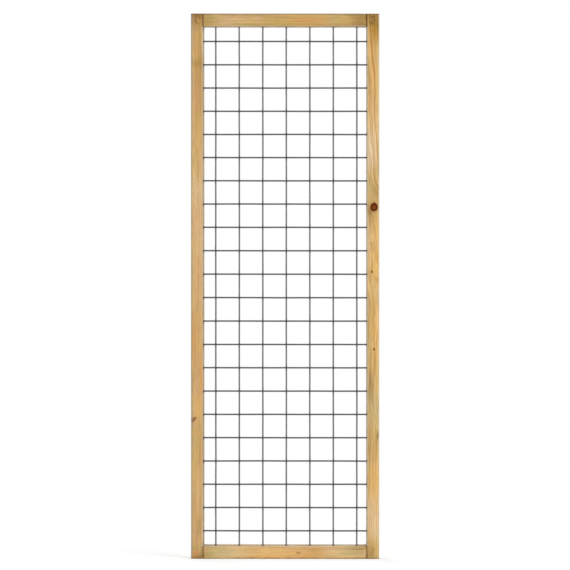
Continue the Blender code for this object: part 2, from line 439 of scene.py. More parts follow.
    def group(self, name: str, **values: Value | Vector) -> bpy.types.Node:
        """Place a node group and fill its inputs.

        Args:
            name: The group's name.
            **values: Input name, with _ for a space, and its value or output.

        Returns:
            The group's node.
        """
        made = self.node("ShaderNodeGroup", node_tree=bpy.data.node_groups[name])
        for key, value in values.items():
            self.feed(made.inputs[key.replace("_", " ")], value)
        return made


def new_material(name: str) -> tuple[bpy.types.Material, Graph, bpy.types.Node, Socket]:
    """Start a material.

    Args:
        name: Its name.

    Returns:
        The material, its graph, its Principled shader and the place in the object.
    """
    material = bpy.data.materials.new(name)
    material.use_nodes = True
    graph = Graph(material.node_tree)
    place = graph.node("ShaderNodeTexCoord").outputs["Object"]
    return material, graph, graph.tree.nodes["Principled BSDF"], place


def new_group(name: str, inputs: Iterable[str], outputs: Iterable[str]
              ) -> tuple[Graph, bpy.types.NodeOutputs, bpy.types.NodeInputs]:
    """Start a shader node group with a named interface.

    Args:
        name: The group's name.
        inputs: Its inputs. One named Vector is a vector, and any other is a number.
        outputs: Its outputs, in the same way.

    Returns:
        The group's graph, the sockets that bring its inputs and those of its outputs.
    """
    tree = bpy.data.node_groups.new(name, "ShaderNodeTree")
    for in_out, sockets in (("INPUT", inputs), ("OUTPUT", outputs)):
        for socket in sockets:
            kind = "NodeSocketVector" if socket == "Vector" else "NodeSocketFloat"
            tree.interface.new_socket(name=socket, in_out=in_out, socket_type=kind)
    graph = Graph(tree)
    given, result = graph.node("NodeGroupInput"), graph.node("NodeGroupOutput")
    return graph, given.outputs, result.inputs


class WoodGroups:
    """The effects that all boards share, each built once as a node group.

    Of two numbers that limit a mask, the first is where it starts to change and the
    second where the change is complete. PATCH_LEVELS is the span that the streaks of a
    patch multiply its mask by.
    """

    KNOT = "knot_in_grain"
    RINGS = "growth_rings"
    FIBRE = "wood_fibre"
    PATCH = "soft_patch"
    EDGES = "board_edges"

    BEND_REACH = 1.9
    BEND_SHARPNESS = 0.42
    BEND_PULL = 0.92
    KNOT_OUTLINE = DrawnNoise(240.0, 240.0, 160.0, 3.0)
    KNOT_RAGGEDNESS = 0.20
    HEART_END = (0.90, 1.06)
    RIM_START = (0.30, 0.62)
    RIM_END = (0.98, 1.12)
    HALO_END = (0.9, 2.1)
    KNOT_TURNS = 7.0
    TURN_EDGE = (0.3, 0.95)

    WANDER = DrawnNoise(3.2, 6.0, 6.0, 1.0)
    RING_RIPPLE = DrawnNoise(9.0, 60.0, 60.0, 2.0, 4.0)
    RING_RIPPLE_HEIGHT = 0.0022
    UNEVEN_SCALE = 0.45
    UNEVEN_SHARE = 1.6
    LATE_RISE = (0.55, 0.92)
    LATE_FALL = (0.94, 1.0)

    STREAK = DrawnNoise(7.0, 330.0, 330.0, 3.0)
    FINE = DrawnNoise(60.0, 2600.0, 2600.0, 3.0, 2.0)
    FLECK = DrawnNoise(110.0, 1900.0, 1900.0, 1.0, 5.0)
    FLECK_EDGE = (0.66, 0.76)
    MOTTLE = DrawnNoise(34.0, 150.0, 150.0, 3.0, 9.0)
    PLANER_PITCH = 0.0028
    PLANER_FADE = DrawnNoise(6.0, 30.0, 30.0, 1.0, 6.0)

    PATCH_STREAK = DrawnNoise(10.0, 210.0, 90.0, 3.0, 7.0)
    PATCH_LEVELS = (0.35, 1.65)

    EDGE_WOBBLE = DrawnNoise(34.0, 160.0, 160.0, 3.0, 3.0)
    WOBBLE_SHARE = 0.7
    FULL_SHARE = 0.3
    INNER_DEPTH_RATE = 2.0
    JOINT_FADE = 2 * MILLIMETRE
    STOP_FADE = MILLIMETRE

    def build(self) -> None:
        """Build every group."""
        self._knot()
        self._rings()
        self._fibre()
        self._patch()
        self._edges()

    def _knot(self) -> None:
        """Grain that flows round a knot, and masks of the knot's own parts."""
        graph, given, result = new_group(
            self.KNOT, ("Vector", "Along", "Across", "Radius", "Stretch"),
            ("Vector", "Heart", "Rim", "Halo", "Turns"))
        along, across, depth = graph.separate(given["Vector"])
        radius = given["Radius"]
        off_along = graph.math("SUBTRACT", along, given["Along"])
        off_across = graph.math("SUBTRACT", across, given["Across"])
        long_radius = graph.times(radius, given["Stretch"])

        reach = graph.times(long_radius, self.BEND_REACH)
        near_along = graph.bell(graph.math("DIVIDE", off_along, reach), 1.0)
        share_across = graph.math("DIVIDE", off_across, radius)
        near_across = graph.bell(share_across, self.BEND_SHARPNESS)
        pull = graph.times(graph.times(near_along, near_across), self.BEND_PULL)
        flowed = graph.math("MULTIPLY_ADD", off_across, graph.math("SUBTRACT", 1.0, pull),
                            given["Across"])
        graph.feed(result["Vector"], graph.combine(along, flowed, depth))

        ragged = graph.span(graph.drawn_noise(given["Vector"], self.KNOT_OUTLINE),
                            -self.KNOT_RAGGEDNESS, self.KNOT_RAGGEDNESS)
        share_along = graph.math("DIVIDE", off_along, long_radius)
        distance = graph.math("SQRT", graph.square_sum(share_along, share_across))
        distance = graph.math("ADD", distance, ragged)
        graph.feed(result["Heart"], graph.fade(distance, *self.HEART_END))
        graph.feed(result["Rim"],
                   graph.times(graph.smooth(distance, *self.RIM_START),
                               graph.fade(distance, *self.RIM_END)))
        graph.feed(result["Halo"], graph.fade(distance, *self.HALO_END))
        turns = graph.math("FRACT", graph.times(distance, self.KNOT_TURNS))
        graph.feed(result["Turns"], graph.smooth(turns, *self.TURN_EDGE))

    @staticmethod
    def _shifted(graph: Graph, given: bpy.types.NodeOutputs) -> Socket:
        """Move the place along the grain by the seed, which makes the noise a board's own.

        Args:
            graph: The group's graph.
            given: The sockets that bring its inputs.

        Returns:
            The moved place.
        """
        shifted = graph.node("ShaderNodeVectorMath", operation="ADD")
        graph.feed(shifted.inputs[0], given["Vector"])
        graph.feed(shifted.inputs[1], graph.combine(given["Seed"], 0.0, 0.0))
        return shifted.outputs[0]

    def _rings(self) -> None:
        """Growth rings about a pith beside the board, which every face cuts through."""
        graph, given, result = new_group(
            self.RINGS,
            ("Vector", "Pith Across", "Pith Depth", "Spacing", "Taper", "Wander", "Seed"),
            ("Late Wood", "Tone"))
        shifted = self._shifted(graph, given)
        along, across, depth = graph.separate(given["Vector"])
        wander = graph.span(graph.drawn_noise(shifted, self.WANDER), -1.0, 1.0)
        ripple = graph.span(graph.drawn_noise(shifted, self.RING_RIPPLE),
                            -self.RING_RIPPLE_HEIGHT, self.RING_RIPPLE_HEIGHT)
        across = graph.math("MULTIPLY_ADD", wander, given["Wander"], across)
        depth = graph.math("ADD", depth, ripple)
        off_across = graph.math("SUBTRACT", across, given["Pith Across"])
        off_depth = graph.math("SUBTRACT", depth, given["Pith Depth"])
        radius = graph.math("SQRT", graph.square_sum(off_across, off_depth))
        radius = graph.math("MULTIPLY_ADD", along, given["Taper"], radius)
        count = graph.math("DIVIDE", radius, given["Spacing"])
        uneven = graph.node("ShaderNodeTexNoise", noise_dimensions="1D")
        graph.feed(uneven.inputs["W"], graph.times(count, self.UNEVEN_SCALE))
        count = graph.math("MULTIPLY_ADD", uneven.outputs["Fac"], self.UNEVEN_SHARE, count)
        turn = graph.math("FRACT", count)
        graph.feed(result["Late Wood"],
                   graph.times(graph.smooth(turn, *self.LATE_RISE),
                               graph.fade(turn, *self.LATE_FALL)))
        own = graph.node("ShaderNodeTexWhiteNoise", noise_dimensions="1D")
        graph.feed(own.inputs["W"], graph.math("FLOOR", count))
        graph.feed(result["Tone"], own.outputs["Value"])

    def _fibre(self) -> None:
        """Fine fibres, resin flecks and mottling, and the ripple that a planer leaves."""
        graph, given, result = new_group(
            self.FIBRE, ("Vector", "Seed"), ("Streak", "Fine", "Fleck", "Mottle", "Ripple"))
        vector = self._shifted(graph, given)
        for name, kind in (("Streak", self.STREAK), ("Fine", self.FINE),
                           ("Mottle", self.MOTTLE)):
            graph.feed(result[name], graph.drawn_noise(vector, kind))
        graph.feed(result["Fleck"],
                   graph.smooth(graph.drawn_noise(vector, self.FLECK), *self.FLECK_EDGE))
        along = graph.separate(given["Vector"])[0]
        turn = graph.times(along, math.tau / self.PLANER_PITCH)
        graph.feed(result["Ripple"],
                   graph.times(graph.math("SINE", turn),
                               graph.drawn_noise(vector, self.PLANER_FADE)))

    def _patch(self) -> None:
        """A soft stain with streaky edges."""
        graph, given, result = new_group(
            self.PATCH, ("Vector", "Along", "Across", "Length", "Width"), ("Mask",))
        along, across, _ = graph.separate(given["Vector"])
        shares = []
        for place, middle, half in ((along, "Along", "Length"), (across, "Across", "Width")):
            off = graph.math("SUBTRACT", place, given[middle])
            shares.append(graph.math("DIVIDE", off, given[half]))
        near = graph.math("EXPONENT", graph.times(graph.square_sum(*shares), -1.0))
        streaks = graph.drawn_noise(given["Vector"], self.PATCH_STREAK)
        graph.feed(result["Mask"],
                   graph.times(near, graph.span(streaks, *self.PATCH_LEVELS)))

    def _edges(self) -> None:
        """Masks of a board's rounded edges, of its two ends and of its butt joints.

        The outer mask lies on the front and back edges of the outer side. The inner one
        and that of the joints lie on the front edge of the inner side, at the lip where
        the board has a rebate. The inner one stops short of the ends with the rebate.
        """
        graph, given, result = new_group(
            self.EDGES,
            ("Vector", "Outer", "Inner", "Front", "Back", "Start", "Finish", "Reach",
             "Outer Reach", "Inner Stop", "Joint Length", "Joint Reach"),
            ("Outer Edge", "Inner Edge", "Start End", "Finish End", "Joint"))
        along, across, depth = graph.separate(given["Vector"])
        wobble = graph.span(graph.drawn_noise(given["Vector"], self.EDGE_WOBBLE),
                            -self.WOBBLE_SHARE, self.WOBBLE_SHARE)

        def gap(place: Socket, name: str) -> Socket:
            """Distance to one of the board's planes."""
            return graph.math("ABSOLUTE", graph.math("SUBTRACT", place, given[name]))

        def close(distance: Socket, reach: str) -> Socket:
            """Mask the wood that lies close to a plane.

            Args:
                distance: The distance to the plane.
                reach: Name of the input that holds the mask's width.

            Returns:
                1 at the plane and 0 from the reach on, with a ragged end.
            """
            far = given[reach]
            return graph.fade(graph.math("MULTIPLY_ADD", wobble, far, distance),
                              graph.times(far, self.FULL_SHARE), far)

        face = graph.math("MINIMUM", gap(depth, "Front"), gap(depth, "Back"))
        outer = graph.math("MAXIMUM", gap(across, "Outer"), face)
        inner = graph.math("MAXIMUM", gap(across, "Inner"),
                           graph.times(gap(depth, "Front"), self.INNER_DEPTH_RATE))
        end = graph.math("MINIMUM", gap(along, "Start"), gap(along, "Finish"))
        length = given["Joint Length"]
        beside = graph.times(
            graph.fade(end, length, graph.math("ADD", length, self.JOINT_FADE)),
            graph.math("GREATER_THAN", length, 0.0))
        stop = given["Inner Stop"]
        cleared = graph.smooth(end, graph.math("SUBTRACT", stop, self.STOP_FADE), stop)
        open_edge = graph.times(graph.math("SUBTRACT", 1.0, beside), cleared)
        masks = {"Outer Edge": close(outer, "Outer Reach"),
                 "Inner Edge": graph.times(open_edge, close(inner, "Reach")),
                 "Start End": close(gap(along, "Start"), "Reach"),
                 "Finish End": close(gap(along, "Finish"), "Reach"),
                 "Joint": graph.times(beside, close(inner, "Joint Reach"))}
        for name, mask in masks.items():
            graph.feed(result[name], mask)


@dataclass(frozen=True)
class PaintedEdgeLight:
    """How much painted light and shade a board's edges and ends get, from 0 to 1, and in which
    colours.

    Attributes:
        outer: Painted shade on the rounded edges of its outer side; a pale tint makes it a
            painted highlight.
        outer_light_reach: Width of that painted shade.
        outer_light_tint: Screen colour of that painted shade.
        inner: Painted highlight on the rounded front edge of its inner side, or on its lip.
        inner_light_tint: Screen colour of that painted highlight.
        start: Painted shade at its lower or left end.
        finish: Painted shade at its upper or right end.
        joint_shade: Painted shade beside the butt joints with the rails.
        joint_shade_reach: Width of that painted shade.
    """

    outer: float = 0.30
    outer_light_reach: float = 0.0070
    outer_light_tint: Rgb = (128, 112, 84)
    inner: float = 0.20
    inner_light_tint: Rgb = (205, 194, 174)
    start: float = 0.40
    finish: float = 0.40
    joint_shade: float = 0.0
    joint_shade_reach: float = 0.0045


@dataclass(frozen=True)
class BoardFinish:
    """Planed, pressure-treated pine, as one board shows it.

    RING_TONES is the span of how strongly the dark wood shows from ring to ring, and
    FIBRE_TONES are the spans of what the fibres multiply the colour by.

    Attributes:
        early: Screen colour of the pale wood of each ring.
        late: Screen colour of the dark wood of each ring.
        pith_across: Where the tree's pith lay on the axis across the face.
        pith_depth: Where it lay in depth.
        seed: Makes the board's noise its own.
        ring_spacing: Thickness of a year's growth.
        taper: How much the rings close in along the grain.
        knots: The knots in it.
        patches: The stains on it.
        edge_light: The painted shade and highlights on its edges and ends.
        sways: The stretches where its grain runs askew.
        wander: How far the rings stray across the face.
        streaks: Strength of its olive, pink and honey streaks.
    """

    early: Rgb
    late: Rgb
    pith_across: float
    pith_depth: float
    seed: float
    ring_spacing: float = 0.0042
    taper: float = 0.006
    knots: tuple[Knot, ...] = ()
    patches: tuple[Patch, ...] = ()
    edge_light: PaintedEdgeLight = PaintedEdgeLight()
    sways: tuple[Sway, ...] = ()
    wander: float = 0.012
    streaks: tuple[float, float, float] = (0.50, 0.40, 0.45)

    STREAK_KINDS = ((Tint.OLIVE, DrawnNoise(9.0, 80.0, 80.0, 3.0)),
                    (Tint.PINK, DrawnNoise(7.0, 70.0, 70.0, 3.0, 11.0)),
                    (Tint.HONEY, DrawnNoise(10.0, 110.0, 110.0, 3.0, 23.0)))
    STREAK_EDGE = (0.46, 0.68)
    RING_TONES = (0.30, 1.0)
    FIBRE_TONES = {"Streak": (0.74, 1.26), "Fine": (0.93, 1.07), "Mottle": (0.84, 1.16)}
    FLECK_TONE = -0.16
    KNOT_HEART = (142, 73, 30)
    KNOT_RIM = (88, 38, 0)
    KNOT_TURN = (112, 52, 12)
    KNOT_HALO = (168, 124, 66)
    HALO_STRENGTH = 0.55
    RIM_STRENGTH = 0.9
    # Colour of the painted shade at the ends and beside the butt joints, and the width of the
    # painted edge light.
    END_SHADE = (94, 54, 2)
    EDGE_LIGHT_REACH = 0.0052
    JOINT_LENGTH = 0.041
    ROUGHNESS = 0.78
    ROUGHNESS_SHARES = {"Late Wood": -0.12, "Fine": 0.14}
    SPECULAR = 0.14
    HEIGHT_SHARES = {"Late Wood": 0.5, "Streak": 0.5, "Fine": 0.35, "Fleck": -0.5,
                     "Ripple": 0.10}
    KNOT_HEIGHT = -0.8
    RELIEF_STRENGTH = 0.7
    RELIEF_DEPTH = 0.15 * MILLIMETRE

    def material(self, name: str, board: "Board") -> bpy.types.Material:
        """Make the board's material.

        Args:
            name: The material's name.
            board: The board that it is for, which gives its place and its grain.

        Returns:
            The material.
        """
        material, graph, shader, place = new_material(name)
        parts = graph.separate(place)
        axes = (board.grain.value, board.grain.across, DEPTH_AXIS)
        vector = graph.combine(*(parts[axis] for axis in axes))

        flowed = vector
        knots = []
        for knot in self.knots:
            made = graph.group(WoodGroups.KNOT, Vector=flowed, Along=knot.along,
                               Across=knot.across, Radius=knot.radius, Stretch=knot.stretch)
            flowed = made.outputs["Vector"]
            knots.append((knot, made))
        flowed = self._swayed(graph, flowed)
        rings = graph.group(WoodGroups.RINGS, Vector=flowed, Pith_Across=self.pith_across,
                            Pith_Depth=self.pith_depth, Spacing=self.ring_spacing,
                            Taper=self.taper, Wander=self.wander, Seed=self.seed)
        fibre = graph.group(WoodGroups.FIBRE, Vector=flowed, Seed=self.seed)
        wood = {socket.name: socket for made in (rings, fibre) for socket in made.outputs}

        colour = self._streaked(graph, vector)
        colour = self._stained(graph, vector, colour)
        colour = self._grained(graph, wood, colour)
        colour = self._knotted(graph, knots, colour)
        colour = self._paint_edge_light(graph, vector, board, colour)
        graph.feed(shader.inputs["Base Color"], colour)
        graph.feed(shader.inputs["Roughness"],
                   graph.weigh(self.ROUGHNESS, wood, self.ROUGHNESS_SHARES))
        shader.inputs["Specular IOR Level"].default_value = self.SPECULAR
        graph.feed(shader.inputs["Normal"], self._relief(graph, wood, knots))
        return material

    def _swayed(self, graph: Graph, vector: Socket) -> Socket:
        """Shift the grain across the face where it runs askew.

        Args:
            graph: The material's graph.
            vector: The place along, across and into the board.

        Returns:
            The place in straight grain.
        """
        along, across, depth = graph.separate(vector)
        for sway in self.sways:
            passed = graph.smooth(along, sway.along - sway.length, sway.along + sway.length)
            across = graph.math("MULTIPLY_ADD", passed, sway.shift, across)
        return graph.combine(along, across, depth)

    def _streaked(self, graph: Graph, vector: Socket) -> Socket:
        """The pale wood between the rings, with its broad changes of tone.

        Args:
            graph: The material's graph.
            vector: The place along, across and into the board.

        Returns:
            The first colour.
        """
        colour = screen(self.early)
        for (tint, kind), strength in zip(self.STREAK_KINDS, self.streaks):
            spread = graph.smooth(graph.drawn_noise(vector, kind, self.seed),
                                  *self.STREAK_EDGE)
            colour = graph.lay(colour, tint.colour, spread, strength)
        return colour

    def _stained(self, graph: Graph, vector: Socket, colour: Socket) -> Socket:
        """Lay the board's stains over its wood.

        Args:
            graph: The material's graph.
            vector: The place along, across and into the board.
            colour: The colour so far.

        Returns:
            The colour with the stains.
        """
        for patch in self.patches:
            made = graph.group(WoodGroups.PATCH, Vector=vector, Along=patch.along,
                               Across=patch.across, Length=patch.length, Width=patch.width)
            colour = graph.lay(colour, patch.tint.colour, made.outputs["Mask"],
                               patch.strength)
        return colour

    def _grained(self, graph: Graph, wood: dict[str, Socket], colour: Socket) -> Socket:
        """Darken the wood in the late part of each ring, and vary it with its fibres.

        Args:
            graph: The material's graph.
            wood: What the rings and the fibres put out, by name.
            colour: The colour so far.

        Returns:
            The colour with the grain.
        """
        late = graph.times(wood["Late Wood"], graph.span(wood["Tone"], *self.RING_TONES))
        pairs = zip(screen(self.late), screen(self.early))
        colour = graph.mix(late, colour, tuple(dark / pale for dark, pale in pairs), "MULTIPLY")
        tone = 1.0
        for name, tones in self.FIBRE_TONES.items():
            tone = graph.times(tone, graph.span(wood[name], *tones))
        tone = graph.math("MULTIPLY_ADD", wood["Fleck"], self.FLECK_TONE, tone)
        return graph.mix(1.0, colour, tone, "MULTIPLY")

    def _knotted(self, graph: Graph, knots: list[tuple[Knot, bpy.types.Node]],
                 colour: Socket) -> Socket:
        """Lay the knots over the wood.

        Args:
            graph: The material's graph.
            knots: Each knot with its group's node.
            colour: The colour so far.

        Returns:
            The colour with the knots.
        """
        for knot, made in knots:
            heart = graph.mix(made.outputs["Turns"], screen(self.KNOT_HEART),
                              screen(self.KNOT_TURN))
            for name, tint, strength in (("Halo", screen(self.KNOT_HALO), self.HALO_STRENGTH),
                                         ("Heart", heart, 1.0),
                                         ("Rim", screen(self.KNOT_RIM), self.RIM_STRENGTH)):
                colour = graph.lay(colour, tint, made.outputs[name], strength * knot.darkness)
        return colour

    def _paint_edge_light(self, graph: Graph, vector: Socket, board: "Board", colour: Socket) -> Socket:
        """Paint shade on the outer edges, at the ends and at the joints, and a highlight on the
        inner edge; a pale outer tint paints a highlight instead.

        Args:
            graph: The material's graph.
            vector: The place along, across and into the board.
            board: The board, which gives the places of its edges.
            colour: The colour so far.

        Returns:
            The finished colour.
        """
        edge_light, along = self.edge_light, board.grain.value
        masks = graph.group(
            WoodGroups.EDGES, Vector=vector, Outer=board.outer, Inner=board.inner,
            Front=board.lip, Back=board.high.y, Start=board.low[along],
            Finish=board.high[along], Reach=self.EDGE_LIGHT_REACH, Outer_Reach=edge_light.outer_light_reach,
            Inner_Stop=board.pocket_stop, Joint_Reach=edge_light.joint_shade_reach,
            Joint_Length=self.JOINT_LENGTH if edge_light.joint_shade else 0.0)
        # Each layer is painted light: shade on the outer edges, or a highlight where their tint
        # is pale, a highlight on the inner edge or lip, and shade at the ends and the joints.
        layers = (("Outer Edge", edge_light.outer, edge_light.outer_light_tint),
                  ("Inner Edge", edge_light.inner, edge_light.inner_light_tint),
                  ("Start End", edge_light.start, self.END_SHADE),
                  ("Finish End", edge_light.finish, self.END_SHADE),
                  ("Joint", edge_light.joint_shade, self.END_SHADE))
        for name, strength, tint in layers:
            colour = graph.lay(colour, screen(tint), masks.outputs[name], strength)
        return colour

    def _relief(self, graph: Graph, wood: dict[str, Socket],
                knots: list[tuple[Knot, bpy.types.Node]]) -> Socket:
        """The fine relief of planed wood: raised late wood, fibres, flecks and ripple.

        Args:
            graph: The material's graph.
            wood: What the rings and the fibres put out, by name.
            knots: Each knot with its group's node.

        Returns:
            The normal.
        """
        height = graph.weigh(0.0, wood, self.HEIGHT_SHARES)
        for _, made in knots:
            height = graph.math("MULTIPLY_ADD", made.outputs["Rim"], self.KNOT_HEIGHT, height)
        return graph.relief(height, self.RELIEF_STRENGTH, self.RELIEF_DEPTH)


@dataclass(frozen=True)
class ZincFinish:
    """Zinc over steel, as the wires and the screws show it.

    Attributes:
        base: Screen colour of the clean zinc.
        dull: Screen colour where it has dulled.
        burnt: Screen colour of scorched zinc round a weld.
        level_shade_tint: Screen colour of the painted shade on the level wires, which makes
            them darker than the uprights.
        spangle: How many crystals a metre holds.
        roughness: Middle roughness.
        metallic: How metallic the coat is.
        sheen: How bright its grazing reflection is.
    """

    base: Rgb
    dull: Rgb
    burnt: Rgb
    level_shade_tint: Rgb
    spangle: float
    roughness: float
    metallic: float
    sheen: float

    COAT = "zinc_coat"
    WELD = "weld_scorch"
    LEVEL_SHADE = "level_shade"
    CLOUD = DrawnNoise(90.0, 90.0, 90.0, 4.0)
    SPECK = DrawnNoise(1400.0, 1400.0, 1400.0, 3.0, 3.0)
    CLOUD_EDGE = (0.35, 0.75)
    CRYSTAL_DULLING = 0.45
    LEVEL_SHADE_SPAN = (0.6, 1.3)
    SCORCH_LEVELS = (0.5, 1.1)
    CRYSTAL_ROUGHNESS = 0.16
    SCORCH_ROUGHNESS = 0.18
    SPECK_HEIGHT = 0.6
    RELIEF_STRENGTH = 0.5
    RELIEF_DEPTH = 0.05 * MILLIMETRE

    @classmethod
    def build_group(cls) -> None:
        """Build the group for zinc: its crystals, its cloudy dulling and its fine specks."""
        graph, given, result = new_group(cls.COAT, ("Vector", "Spangle"),
                                         ("Crystal", "Cloud", "Speck"))
        vector = given["Vector"]
        crystal = graph.node("ShaderNodeTexVoronoi")
        graph.feed(crystal.inputs["Vector"], vector)
        graph.feed(crystal.inputs["Scale"], given["Spangle"])
        graph.feed(result["Crystal"], graph.separate(crystal.outputs["Color"])[0])
        graph.feed(result["Cloud"], graph.drawn_noise(vector, cls.CLOUD))
        graph.feed(result["Speck"], graph.drawn_noise(vector, cls.SPECK))

    def material(self, name: str) -> bpy.types.Material:
        """Make the coat's material.

        Args:
            name: The material's name.

        Returns:
            The material.
        """
        material, graph, shader, place = new_material(name)
        crystal, cloud, speck = graph.group(self.COAT, Vector=place,
                                            Spangle=self.spangle).outputs
        level_shade, scorch = (graph.node("ShaderNodeAttribute", attribute_name=layer).outputs["Fac"]
                         for layer in (self.LEVEL_SHADE, self.WELD))
        dulled = graph.math("MULTIPLY_ADD", crystal, self.CRYSTAL_DULLING,
                            graph.smooth(cloud, *self.CLOUD_EDGE))
        colour = graph.mix(dulled, screen(self.base), screen(self.dull))
        # The level wires get painted shade, darker than the uprights, in clouds.
        colour = graph.lay(colour, screen(self.level_shade_tint), level_shade,
                           graph.span(cloud, *self.LEVEL_SHADE_SPAN))
        colour = graph.lay(colour, screen(self.burnt), scorch,
                           graph.span(speck, *self.SCORCH_LEVELS))
        graph.feed(shader.inputs["Base Color"], colour)
        shader.inputs["Metallic"].default_value = self.metallic
        shader.inputs["Specular IOR Level"].default_value = self.sheen / 2
        shader.inputs["Specular Tint"].default_value = (self.sheen,) * 3 + (1.0,)
        rough = graph.math("MULTIPLY_ADD", crystal, self.CRYSTAL_ROUGHNESS,
                           self.roughness - self.CRYSTAL_ROUGHNESS / 2)
        rough = graph.math("MULTIPLY_ADD", scorch, self.SCORCH_ROUGHNESS, rough)
        graph.feed(shader.inputs["Roughness"], rough)
        height = graph.math("MULTIPLY_ADD", speck, self.SPECK_HEIGHT, cloud)
        graph.feed(shader.inputs["Normal"],
                   graph.relief(height, self.RELIEF_STRENGTH, self.RELIEF_DEPTH))
        return material


def new_piece(name: str, bm: BMesh) -> bpy.types.Object:
    """Make an object at the origin from a bmesh, which is freed.

    Args:
        name: The piece's name.
        bm: Its mesh, in the model's coordinates.

    Returns:
        The object, in the scene.
    """
    mesh = bpy.data.meshes.new(name)
    bm.to_mesh(mesh)
    bm.free()
    piece = bpy.data.objects.new(name, mesh)
    bpy.context.scene.collection.objects.link(piece)
    return piece


def carve(piece: bpy.types.Object, cutter_mesh: BMesh) -> None:
    """Take a closed shape, or several that lie apart, out of a piece.

    The exact solver drops the whole board on some of the thin drying checks, so the
    manifold solver makes the cut.

    Args:
        piece: The piece that is cut.
        cutter_mesh: The shape, which is freed.
    """
    cutter = new_piece("cutter", cutter_mesh)
    modifier = piece.modifiers.new("cut", "BOOLEAN")
    modifier.object = cutter
    modifier.operation = "DIFFERENCE"
    modifier.solver = "MANIFOLD"
    graph = bpy.context.evaluated_depsgraph_get()
    mesh = bpy.data.meshes.new_from_object(piece.evaluated_get(graph))
    piece.modifiers.clear()
    piece.data = mesh
    bpy.data.objects.remove(cutter, do_unlink=True)


def hand_in(piece: bpy.types.Object, node: str,
            material: bpy.types.Material) -> None:
    """Shade a piece, colour it and put it in the place of its solid.

    Args:
        piece: The finished piece.
        node: The solid that it stands for.
        material: Its material.
    """
    piece.data.shade_smooth()
    piece.data.set_sharp_from_angle(angle=SHARP_ANGLE)
    piece.data.materials.clear()
    piece.data.materials.append(material)
    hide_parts(node)
    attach(piece, ROOT_BODY)
    LOG.info("%s: %d faces", piece.name, len(piece.data.polygons))


def add_mesh(bm: BMesh, other: BMesh) -> None:
    """Add a bmesh to another and free it.

    Args:
        bm: The bmesh that grows.
        other: The bmesh that is added.
    """
    mesh = bpy.data.meshes.new("added")
    other.to_mesh(mesh)
    other.free()
    bm.from_mesh(mesh)
    bpy.data.meshes.remove(mesh)


def block(size: Vector, middle: Vector) -> BMesh:
    """Make a box.

    Args:
        size: Its size along each axis.
        middle: The place of its middle.

    Returns:
        The closed shape.
    """
    bm = bmesh.new()
    bmesh.ops.create_cube(bm, size=1.0)
    bmesh.ops.scale(bm, vec=size, verts=bm.verts)
    bmesh.ops.translate(bm, vec=middle, verts=bm.verts)
    return bm


def edges_along(bm: BMesh, axis: int) -> list[BMEdge]:
    """The edges that run along an axis."""
    return [edge for edge in bm.edges
            if abs((edge.verts[1].co - edge.verts[0].co).normalized()[axis]) > STRAIGHT]


def ease(bm: BMesh, edges: list[BMEdge], width: float, segments: int) -> None:
    """Round edges off over a width, in so many segments."""
    bmesh.ops.bevel(bm, geom=edges, offset=width, segments=segments, profile=0.5,
                    material=-1, affect="EDGES")


def extruded(made: dict[str, list]) -> list[BMVert]:
    """The corners among what an extrusion made."""
    return [item for item in made["geom"] if isinstance(item, BMVert)]


def line_noise(run: float, number: float, kind: tuple[float, float, float]) -> float:
    """Noise from -1 to 1 at a place on a numbered line, with its scale, step and plane."""
    scale, step, plane = kind
    return noise.noise(Vector((run * scale, number * step, plane)))


